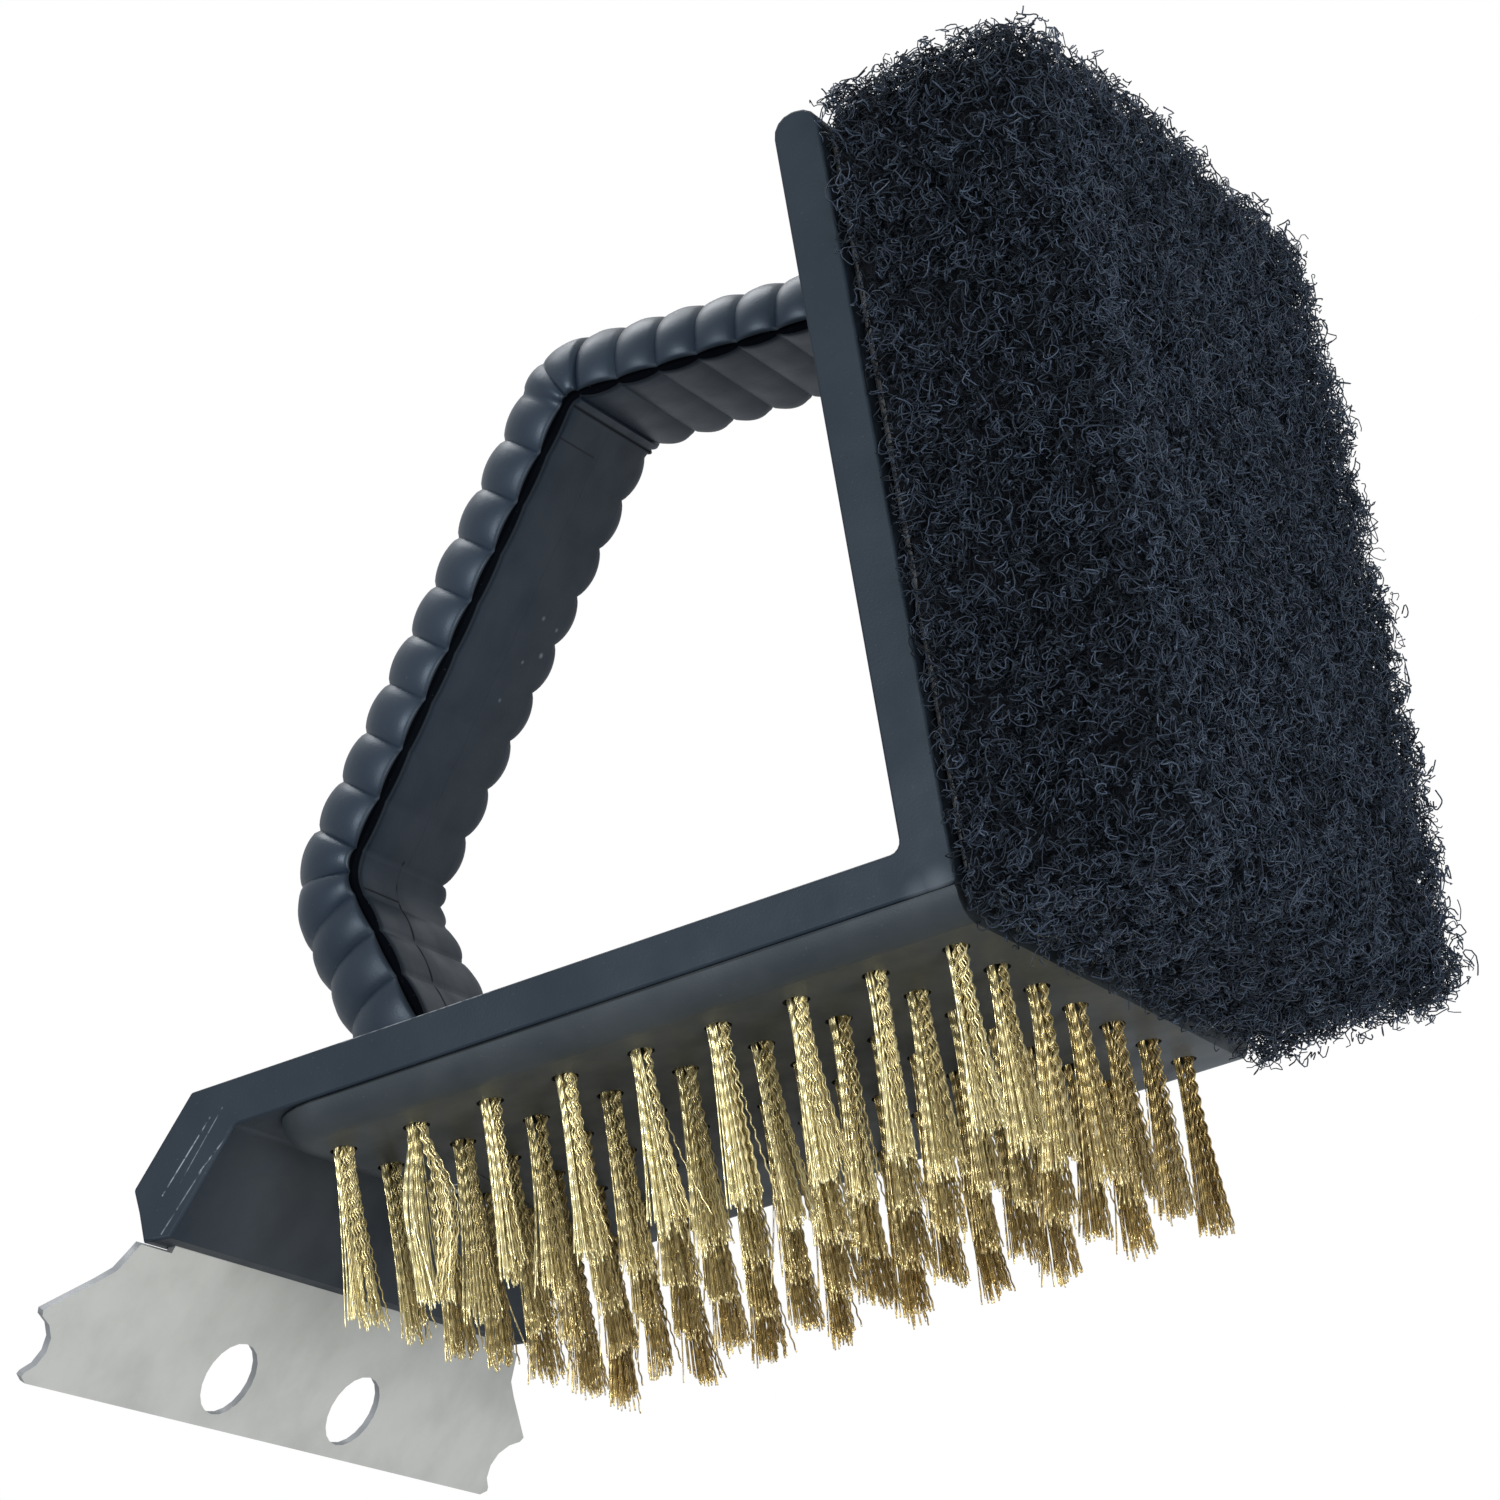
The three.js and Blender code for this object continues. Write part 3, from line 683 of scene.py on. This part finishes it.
def tuft_wisps(root, rng):
    """The wisp of each wire: outer wires go with their neighbours."""
    wisp = rng.integers(0, WISPS, WIRES)
    angle = np.arctan2(root[:, 1], root[:, 0]) + rng.normal(0, 0.35, WIRES)
    outer = np.hypot(root[:, 0], root[:, 1]) > 0.55 * TUFT_ROOT_R
    wisp[outer] = ((angle[outer] / (2 * np.pi)) * WISPS).astype(int) % WISPS
    return wisp


def tip_heights(wisp, rng):
    """Uneven ends: the wires of a wisp end together, and a few are short."""
    tip_z = np.abs(rng.normal(0.0, 0.7, WIRES)) + rng.uniform(0.0, 2.4, WISPS)[wisp]
    tip_z = tip_z - tip_z.min()
    tip_z[rng.random(WIRES) < 0.10] += rng.uniform(1.0, 4.0)
    return tip_z


def opened(root, leg, slot, wisp, down, rng):
    """Sideways places of the wires, which open towards the tips."""
    spread = 1 + rng.uniform(0.75, 1.75) * down**1.2
    lean = rng.normal(0, 0.50, 2)
    loose = rng.normal(0, 0.26, (WIRES, 2)) + rng.normal(0, 0.48, (WISPS, 2))[wisp]
    stray = rng.random(WIRES) < 0.10
    loose[stray] += rng.normal(0, 1.35, (int(stray.sum()), 2))
    apart = 0.32 * np.exp(-down * 9)
    xy = root[:, None, :] * spread[:, :, None]
    xy = xy + (leg[:, None] * apart)[:, :, None] * slot
    xy = xy + lean * (down**1.5)[:, :, None]
    return xy + loose[:, None, :] * (down**2.0)[:, :, None]


def crush(xy, right, down, rng):
    """Push the wires of a crushed tuft out, most of all halfway down."""
    push = np.sin(np.pi * np.clip(down, 0, 1) ** 0.9) ** 1.5
    share = np.where(right, 1.0, -0.40) * rng.uniform(0.5, 1.0, WIRES)
    xy[:, :, 0] += 3.2 * share[:, None] * push
    xy[:, :, 1] += 0.7 * rng.normal(0, 1, (WIRES, 1)) * push


def crimps(side, right, z, down, rng):
    """Sideways waves of the wires, which fade towards the tips."""
    tilt = np.where(right, LEG_TURNS[1], LEG_TURNS[0]) + rng.normal(0, 0.12, WIRES)
    middle = np.where(right, side[right].mean(), side[~right].mean())
    phase = rng.uniform(0, 6.28) + rng.normal(0, 0.20, WIRES)
    phase = phase - STAGGER * np.abs(side - middle) * 2 * np.pi / CRIMP_LENGTH
    wave = np.sin(2 * np.pi * z / CRIMP_LENGTH + phase[:, None])
    tallest = np.where(right, CRIMP_HEIGHT * 1.35, CRIMP_HEIGHT * 0.85)[:, None]
    height = tallest * (1 - 0.75 * down**0.8) * rng.uniform(0.85, 1.15, (WIRES, 1))
    direction = np.stack([np.cos(tilt), np.sin(tilt)], axis=-1)
    return (wave * height)[:, :, None] * direction[:, None, :]


def tuft_paths(column, row, rng):
    """Centre lines and shades of the wires of one tuft."""
    y = (row - (TUFT_ROWS - 1) / 2) * TUFT_PITCH
    centre = np.array([FIRST_TUFT_X + column * TUFT_PITCH, y])
    root, slot, side, right = tuft_roots(rng)
    wisp = tuft_wisps(root, rng)
    tip_z = tip_heights(wisp, rng)
    t = np.linspace(0, 1, WIRE_STATIONS)[None, :]
    z = WIRE_START_Z + (tip_z[:, None] - WIRE_START_Z) * t
    down = np.clip((BLOCK_UNDER_Z - z) / BLOCK_UNDER_Z, 0, 1)
    leg = np.where(right, 1.0, -1.0)
    xy = opened(root, leg, slot, wisp, down, rng)
    if (column, row) == CRUSHED:
        crush(xy, right, down, rng)
    xy = xy + crimps(side, right, z, down, rng)
    paths = np.concatenate([xy + centre, z[:, :, None]], axis=-1)
    # Wires of the right leg are darker and the others paler, a painted highlight for the
    # glints of the leg whose crimps run towards the camera; each wire also gets a random
    # tone.
    shade = np.where(right, 0.30, 0.86) + rng.normal(0, 0.24, WIRES)
    return paths, np.clip(shade, 0, 1)


def tuft_row(row, material):
    """The nine tufts of one row, as one piece."""
    rng = np.random.default_rng(TUFT_SEED + row)
    made = [tuft_paths(column, row, rng) for column in range(TUFT_COLUMNS)]
    paths = np.concatenate([m[0] for m in made])
    shade = np.concatenate([m[1] for m in made])
    radii = np.full(paths.shape[:2], WIRE_R)
    points, faces = tubes(paths, radii, TUBE_SIDES, rng)
    name = f"wire_tufts_{row + 1}"
    shades = np.repeat(shade, WIRE_STATIONS * TUBE_SIDES)
    mesh = mesh_from_arrays(name, points, faces, shades)
    obj = add_object(name, mesh, material)
    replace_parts(obj, f"tuft_row_{row + 1}")


# ------------------------------------------------------------------ scouring pad
# Corners of the box that the pad is shaped from.
PAD_LOW = np.array([57.3, -47.0, 26.5])
PAD_HIGH = np.array([88.2, 47.0, 146.5])
BACK_INSET = 0.1
CORE_INSET = 0.6
NEAR_INSET = 0.3
CORE_DEPTH = 1.1
CORE_ROUND = 3.4
CORE_CELL = 1.6
CORE_WELD = 0.00005
FIBRE_SEED = 91
FIBRE_CELL = 2.0
FIBRE_R = 0.105
FIBRE_STATIONS = 10
FIBRES_PER_PIECE = 3500
FIBRE_PIECES = 12
FIBRE_LEFT_X = 56.25


def lumps(points, seed, size, count=10):
    """Smooth random heights, mostly -1.5 to 1.5, for points in millimetres."""
    rng = np.random.default_rng(seed)
    total = np.zeros(len(points))
    for _ in range(count):
        direction = unit(rng.normal(size=3)) * (2 * np.pi / (size * rng.uniform(0.6, 1.6)))
        total += np.sin(points @ direction + rng.uniform(0, 6.28))
    return total / math.sqrt(count)


def box_grid(low, high, cell):
    """Points and quads of a box whose faces are divided into small squares."""
    counts = np.maximum(1, np.round((high - low) / cell)).astype(int)
    points = []
    quads = []
    offset = 0
    for axis in range(3):
        u_axis, v_axis = (axis + 1) % 3, (axis + 2) % 3
        nu, nv = counts[u_axis], counts[v_axis]
        u, v = np.meshgrid(
            np.linspace(0, 1, nu + 1), np.linspace(0, 1, nv + 1), indexing="ij"
        )
        for end in (0, 1):
            p = np.empty((nu + 1, nv + 1, 3))
            p[..., axis] = high[axis] if end else low[axis]
            p[..., u_axis] = low[u_axis] + (high - low)[u_axis] * u
            p[..., v_axis] = low[v_axis] + (high - low)[v_axis] * v
            index = offset + np.arange((nu + 1) * (nv + 1)).reshape(nu + 1, nv + 1)
            a, b = index[:-1, :-1], index[1:, :-1]
            c, d = index[1:, 1:], index[:-1, 1:]
            order = [a, b, c, d] if end else [a, d, c, b]
            quads.append(np.stack(order, axis=-1).reshape(-1, 4))
            points.append(p.reshape(-1, 3))
            offset += (nu + 1) * (nv + 1)
    points = np.concatenate(points)
    quads = np.concatenate(quads)
    keys = np.round(points * 1000).astype(np.int64)
    _, first, back = np.unique(keys, axis=0, return_index=True, return_inverse=True)
    return points[first], back.ravel()[quads]


def pad_surface(inset, cell):
    """A lumpy box with rounded edges and a flat back, and its faces."""
    low = PAD_LOW + [BACK_INSET, NEAR_INSET + inset, inset]
    high = PAD_HIGH - inset
    points, quads = box_grid(low, high, cell)
    inner = np.clip(points, low + [0.0, CORE_ROUND, CORE_ROUND], high - CORE_ROUND)
    outward = unit(points - inner)
    points = inner + outward * CORE_ROUND * (np.abs(outward).sum(axis=1) > 0.5)[:, None]
    swell = 0.55 * lumps(points, 7, 16.0) + 0.25 * lumps(points, 8, 5.0)
    middle = (low + high) / 2
    share = np.abs((points - middle) / ((high - low) / 2))
    top_dip = 0.6 * (points[:, 2] > middle[2]) * (1 - share[:, 1] ** 2)
    swell = swell - top_dip * np.clip(outward[:, 2], 0, 1)
    swell = swell + 0.9 * (1 - share[:, 2] ** 2) * np.clip(outward[:, 0], 0, 1)
    return points + outward * swell[:, None], quads


def pad_core(material):
    """The dense inside of the pad, which stands for its CAD solid."""
    points, quads = pad_surface(CORE_INSET + CORE_DEPTH, CORE_CELL)
    mesh = mesh_from_arrays("pad_core", points, [quads])
    work = bmesh.new()
    work.from_mesh(mesh)
    bmesh.ops.remove_doubles(work, verts=work.verts, dist=CORE_WELD)
    bmesh.ops.dissolve_degenerate(work, edges=work.edges, dist=CORE_WELD)
    work.to_mesh(mesh)
    work.free()
    obj = add_object("pad_core", mesh, material)
    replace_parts(obj, "scour_pad")


def fibre_sites():
    """Centres and normals of the exposed sides, and the chance of each."""
    points, quads = pad_surface(CORE_INSET, FIBRE_CELL)
    corners = points[quads]
    diagonal = np.cross(corners[:, 2] - corners[:, 0], corners[:, 3] - corners[:, 1])
    keep = diagonal[:, 0] > -0.5 * np.linalg.norm(diagonal, axis=1)
    corners, diagonal = corners[keep], diagonal[keep]
    normals = unit(diagonal)
    on_edge = np.abs(normals).max(axis=1) < 0.95
    chance = np.linalg.norm(diagonal, axis=1) * (1 + 0.6 * on_edge)
    return corners.mean(axis=1), normals, chance / chance.sum()


def fibre_lifts(places, rng):
    """How far out each fibre lies, and whether it is one that stands up."""
    count = len(places)
    lift = rng.uniform(-0.7, 1.7, count)
    lift = lift + 0.9 * lumps(places, 12, 7.0) + 0.6 * lumps(places, 13, 3.0)
    standing = rng.random(count) < 0.22
    lift[standing] = rng.uniform(0.8, 3.0, int(standing.sum()))
    return lift, standing


def fibre_paths(centre, n, standing, rng):
    """Curled and kinked centre lines round the given centres."""
    count = len(centre)
    tilt = np.where(standing, 1.0, rng.uniform(0.0, 0.55, count))
    flat_a = unit(np.cross(n, rng.normal(size=(count, 3))))
    flat_b = np.cross(n, flat_a)
    flat_b = unit(flat_b * (1 - tilt)[:, None] + n * tilt[:, None])
    radius = rng.uniform(0.5, 1.9, count)
    radius[standing] = rng.uniform(0.45, 1.3, int(standing.sum()))
    sweep = rng.uniform(1.8, 5.6, count)
    start = rng.uniform(0, 6.28, count)
    t = np.linspace(0, 1, FIBRE_STATIONS)[None, :]
    angle = start[:, None] + sweep[:, None] * t
    reach = radius[:, None] * (1 + rng.uniform(-0.5, 0.5, (count, 1)) * (t - 0.5))
    squash = rng.uniform(0.45, 1.0, (count, 1))
    paths = (
        centre[:, None, :]
        + flat_a[:, None, :] * (reach * np.cos(angle))[..., None]
        + flat_b[:, None, :] * (reach * squash * np.sin(angle))[..., None]
    )
    wobble = rng.normal(0, 0.24, (count, 3, 3))
    for k in range(3):
        wave = np.sin((k + 1.5) * np.pi * t + rng.uniform(0, 6.28, (count, 1)))
        paths = paths + wobble[:, k, None, :] * wave[..., None]
    paths[..., 0] = np.maximum(paths[..., 0], FIBRE_LEFT_X)
    return paths


def fibre_shades(lift, n, rng):
    """Outer fibres are paler, partly as painted highlight, and those on the near side a
    little darker.
    """
    depth = np.clip((lift + 0.8) / 3.4, 0, 1)
    shade = 0.10 + 0.60 * depth + rng.normal(0, 0.22, len(lift))
    return np.clip(shade - 0.22 * np.clip(-n[:, 1], 0, 1), 0, 1)


def pad_fibres(material):
    """Curled fibres laid over every exposed side of the pad."""
    rng = np.random.default_rng(FIBRE_SEED)
    centres, normals, chance = fibre_sites()
    count = FIBRES_PER_PIECE
    for piece in range(FIBRE_PIECES):
        pick = rng.choice(len(centres), count, p=chance)
        n = normals[pick]
        centre = centres[pick] + rng.uniform(-1.2, 1.2, (count, 3))
        lift, standing = fibre_lifts(centre, rng)
        paths = fibre_paths(centre + n * lift[:, None], n, standing, rng)
        thickness = FIBRE_R * rng.uniform(0.75, 1.25, (count, 1))
        radii = thickness * np.ones((1, FIBRE_STATIONS))
        points, faces = tubes(paths, radii, TUBE_SIDES, rng)
        shade = fibre_shades(lift, n, rng)
        shades = np.repeat(shade, FIBRE_STATIONS * TUBE_SIDES)
        name = f"pad_fibres_{piece + 1}"
        mesh = mesh_from_arrays(name, points, faces, shades)
        add_object(name, mesh, material)


# ------------------------------------------------------------------ stage
# Metres here, as everywhere in Blender itself.
FLOOR_HALF = 4.0
FLOOR_Z = -0.0004
FLOOR_COLOUR = (0.82, 0.82, 0.82, 1.0)
SURROUND_LIGHT = (0.94, 0.97, 1.0, 1.0)
SURROUND_STRENGTH = 0.70
LIGHT_AIM = (0.0, 0.0, 0.06)
CAMERA_PLACE = (0.2930, -0.5909, -0.1818)
CAMERA_RIGHT = (0.8619, 0.4835, -0.1531)
CAMERA_UP = (0.3062, -0.2555, 0.9170)
CAMERA_BACK = (0.4043, -0.8372, -0.3683)
CAMERA_LENS = 118.2
CAMERA_SENSOR = 36.0


def studio_floor():
    """A pale floor that is solid from above and clear from below.

    It casts no shadow and is left out of bounce light and reflections.
    """
    mesh = bpy.data.meshes.new("floor")
    half = FLOOR_HALF
    corners = [(-half, -half), (half, -half), (half, half), (-half, half)]
    mesh.from_pydata([(x, y, FLOOR_Z) for x, y in corners], [], [(0, 1, 2, 3)])
    floor = bpy.data.objects.new("floor", mesh)
    bpy.context.scene.collection.objects.link(floor)
    floor.visible_shadow = False
    floor.visible_diffuse = False
    floor.visible_glossy = False
    material = bpy.data.materials.new("floor")
    material.use_nodes = True
    tree = material.node_tree
    tree.nodes.clear()
    out = tree.nodes.new("ShaderNodeOutputMaterial")
    pale = tree.nodes.new("ShaderNodeBsdfDiffuse")
    pale.inputs["Color"].default_value = FLOOR_COLOUR
    clear = tree.nodes.new("ShaderNodeBsdfTransparent")
    choose = tree.nodes.new("ShaderNodeMixShader")
    face = tree.nodes.new("ShaderNodeNewGeometry")
    tree.links.new(face.outputs["Backfacing"], choose.inputs[0])
    tree.links.new(pale.outputs[0], choose.inputs[1])
    tree.links.new(clear.outputs[0], choose.inputs[2])
    tree.links.new(choose.outputs[0], out.inputs["Surface"])
    mesh.materials.append(material)


def surround():
    """A white background, which lights the brush a little less than it shows."""
    world = bpy.data.worlds.new("studio")
    bpy.context.scene.world = world
    world.use_nodes = True
    tree = world.node_tree
    tree.nodes.clear()
    out = tree.nodes.new("ShaderNodeOutputWorld")
    seen = tree.nodes.new("ShaderNodeBackground")
    seen.inputs["Color"].default_value = (1.0, 1.0, 1.0, 1.0)
    seen.inputs["Strength"].default_value = 1.0
    lit = tree.nodes.new("ShaderNodeBackground")
    lit.inputs["Color"].default_value = SURROUND_LIGHT
    lit.inputs["Strength"].default_value = SURROUND_STRENGTH
    path = tree.nodes.new("ShaderNodeLightPath")
    choose = tree.nodes.new("ShaderNodeMixShader")
    tree.links.new(path.outputs["Is Camera Ray"], choose.inputs[0])
    tree.links.new(lit.outputs[0], choose.inputs[1])
    tree.links.new(seen.outputs[0], choose.inputs[2])
    tree.links.new(choose.outputs[0], out.inputs["Surface"])


def softbox(name, place, size, power):
    """A round white light aimed at the middle of the brush."""
    data = bpy.data.lights.new(name, "AREA")
    data.shape = "DISK"
    data.size = size
    data.energy = power
    lamp = bpy.data.objects.new(name, data)
    lamp.location = place
    lamp.rotation_mode = "QUATERNION"
    direction = Vector(LIGHT_AIM) - Vector(place)
    lamp.rotation_quaternion = direction.to_track_quat("-Z", "Y")
    bpy.context.scene.collection.objects.link(lamp)


def camera():
    """The camera stands low, to the right of the near side, and looks up."""
    data = bpy.data.cameras.new("camera")
    data.lens = CAMERA_LENS
    data.sensor_width = CAMERA_SENSOR
    data.clip_start = 0.05
    data.clip_end = 50.0
    eye = bpy.data.objects.new("camera", data)
    turn = Matrix((CAMERA_RIGHT, CAMERA_UP, CAMERA_BACK)).transposed().to_4x4()
    eye.matrix_world = Matrix.Translation(CAMERA_PLACE) @ turn
    bpy.context.scene.collection.objects.link(eye)
    bpy.context.scene.camera = eye


# ------------------------------------------------------------------ assembly
# Strokes are: start, end, width, strength. Spots are: centre, radius, strength.
# Pale scratches on the nose's near side, and a painted highlight on the body's near top
# edge.
NOSE_SCRATCHES_AND_EDGE_HIGHLIGHT = [
    ((-60.2, -47.0, 32.6), (-69.4, -47.0, 23.9), 0.16, 0.75),
    ((-55.9, -47.0, 30.6), (-63.6, -47.0, 25.0), 0.16, 0.65),
    ((-58.0, -47.0, 33.4), (-66.2, -47.0, 24.9), 0.12, 0.40),
    ((-62.6, -47.0, 25.6), (-70.3, -47.0, 18.6), 0.16, 0.45),
    # Painted highlight along the body's near top edge beside the handle's foot.
    ((-38.0, -46.9, 37.0), (-14.0, -46.9, 37.0), 0.30, 0.55),
]
# Two small pale spots at the body's rear near corner, and two broad spots of painted light
# inside the nose.
CORNER_SPOTS_AND_NOSE_LIGHT = [
    ((53.5, -47.0, 31.0), 3.4, 0.13),
    ((50.8, -47.0, 30.6), 3.2, 0.09),
    # Painted light inside the nose.
    ((-64.0, -21.0, 26.0), 30.0, 0.09),
    ((-64.0, 21.0, 26.0), 30.0, 0.09),
]
# Painted light along the rear edge of the block's underside, strongest at the far end.
REAR_PAINTED_LIGHT = [
    ((54.0, 46.0, 27.0), 28.0, 0.24),
    ((54.0, 24.0, 27.0), 20.0, 0.13),
    ((54.0, 2.0, 27.0), 18.0, 0.09),
]
GRIP_SPOTS = [
    ((-24.8, 4.7, 111.7), 0.55, 0.5),
    ((-25.2, 9.0, 111.2), 0.50, 0.5),
    ((-28.0, 8.1, 107.7), 0.65, 0.7),
    ((-29.3, 4.5, 106.0), 0.45, 0.5),
    ((-33.5, 3.3, 100.9), 0.50, 0.5),
]
# Near-black lines on the handle: those across the top and lower bends are painted shade in
# their creases; the others run along the lower bend and arm near the mid-plane.
BEND_DARK_LINES = [
    ((-6.2, -11.6, 134.9), (-6.2, 11.6, 134.9), 0.55, 0.95),
    ((-9.4, -11.2, 130.9), (-9.4, -1.0, 130.9), 0.35, 0.75),
    ((-50.9, -1.2, 79.2), (-52.6, -1.3, 75.7), 0.50, 0.85),
    ((-52.6, -1.3, 75.7), (-52.3, -1.5, 72.7), 0.50, 0.90),
    ((-52.3, -1.5, 72.7), (-41.5, -5.5, 42.2), 0.75, 0.95),
    ((-52.5, -11.3, 73.3), (-52.5, -1.5, 73.3), 0.50, 0.90),
]

body_plastic = plastic(
    "body_plastic",
    (0.0072, 0.0110, 0.0165),
    (0.0102, 0.0145, 0.0205),
    BODY_GLOSS,
    NOSE_SCRATCHES_AND_EDGE_HIGHLIGHT,
    CORNER_SPOTS_AND_NOSE_LIGHT,
)
block_plastic = plastic(
    "block_plastic",
    (0.016, 0.020, 0.023),
    (0.024, 0.028, 0.031),
    BODY_GLOSS,
    (),
    REAR_PAINTED_LIGHT,
)
handle_plastic = plastic(
    "handle_plastic",
    (0.0062, 0.0118, 0.0212),
    (0.0090, 0.0156, 0.0262),
    HANDLE_GLOSS,
    (),
    GRIP_SPOTS,
    BEND_DARK_LINES,
    True,
)
# Near-black plastic: painted shade on the faces inside the groove.
handle_groove_shade = plastic(
    "handle_groove_shade",
    (0.0010, 0.0014, 0.0024),
    (0.0014, 0.0020, 0.0032),
    GROOVE_SHADE_GLOSS,
)
blade_steel = steel("blade_steel", (0.34, 0.345, 0.325), (0.405, 0.41, 0.39), 0.25, 0.22)
blade_edge = steel("blade_edge", (0.13, 0.135, 0.14), (0.19, 0.20, 0.21), 0.1, 0.3)
screw_steel = steel("screw_steel", (0.40, 0.40, 0.40), (0.62, 0.62, 0.62), 0.2, 1.0)
fibre = web_fibre("web_fibre")
core = web_core("web_core")
adhesive = plain("adhesive_film", (0.020, 0.022, 0.026), 0.5)

tidy_copy("body", "body_shell", body_plastic)
tidy_copy("bristle_block", "bristle_plate", block_plastic, closer_fit)
blade = tidy_copy("scraper_blade", "blade_plate", blade_steel)
darken_edges(blade, blade_edge)
near_half = handle_half(-1, "handle_near", handle_plastic)
paint_groove_shade(near_half, handle_groove_shade)
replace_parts(near_half, "handle_near_half")
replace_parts(handle_half(1, "handle_far", handle_plastic), "handle_far_half")
for row in range(TUFT_ROWS):
    away = row / (TUFT_ROWS - 1)
    # Further rows get darker, browner colours and more dulling: painted shade.
    tone = brass(
        f"brass_{row + 1}",
        (0.54 - 0.12 * away, 0.45 - 0.14 * away, 0.22 - 0.08 * away),
        (1.00 - 0.08 * away, 0.92 - 0.19 * away, 0.56 - 0.23 * away),
        0.15 + 0.30 * away,
    )
    tuft_row(row, tone)
pad_core(core)
pad_fibres(fibre)
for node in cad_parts.values():
    if node.hide_render:
        continue
    node.data.materials.clear()
    node.data.materials.append(adhesive if node.name == "pad_adhesive" else screw_steel)

studio_floor()
surround()
softbox("key", (-0.12, -0.90, 0.12), 0.30, 6.0)
softbox("fill", (0.75, -0.50, -0.35), 0.60, 10.0)
softbox("top", (-0.25, 0.10, 0.95), 0.60, 5.0)
camera()
scene = bpy.context.scene
scene.view_settings.view_transform = "Standard"
scene.view_settings.look = "None"
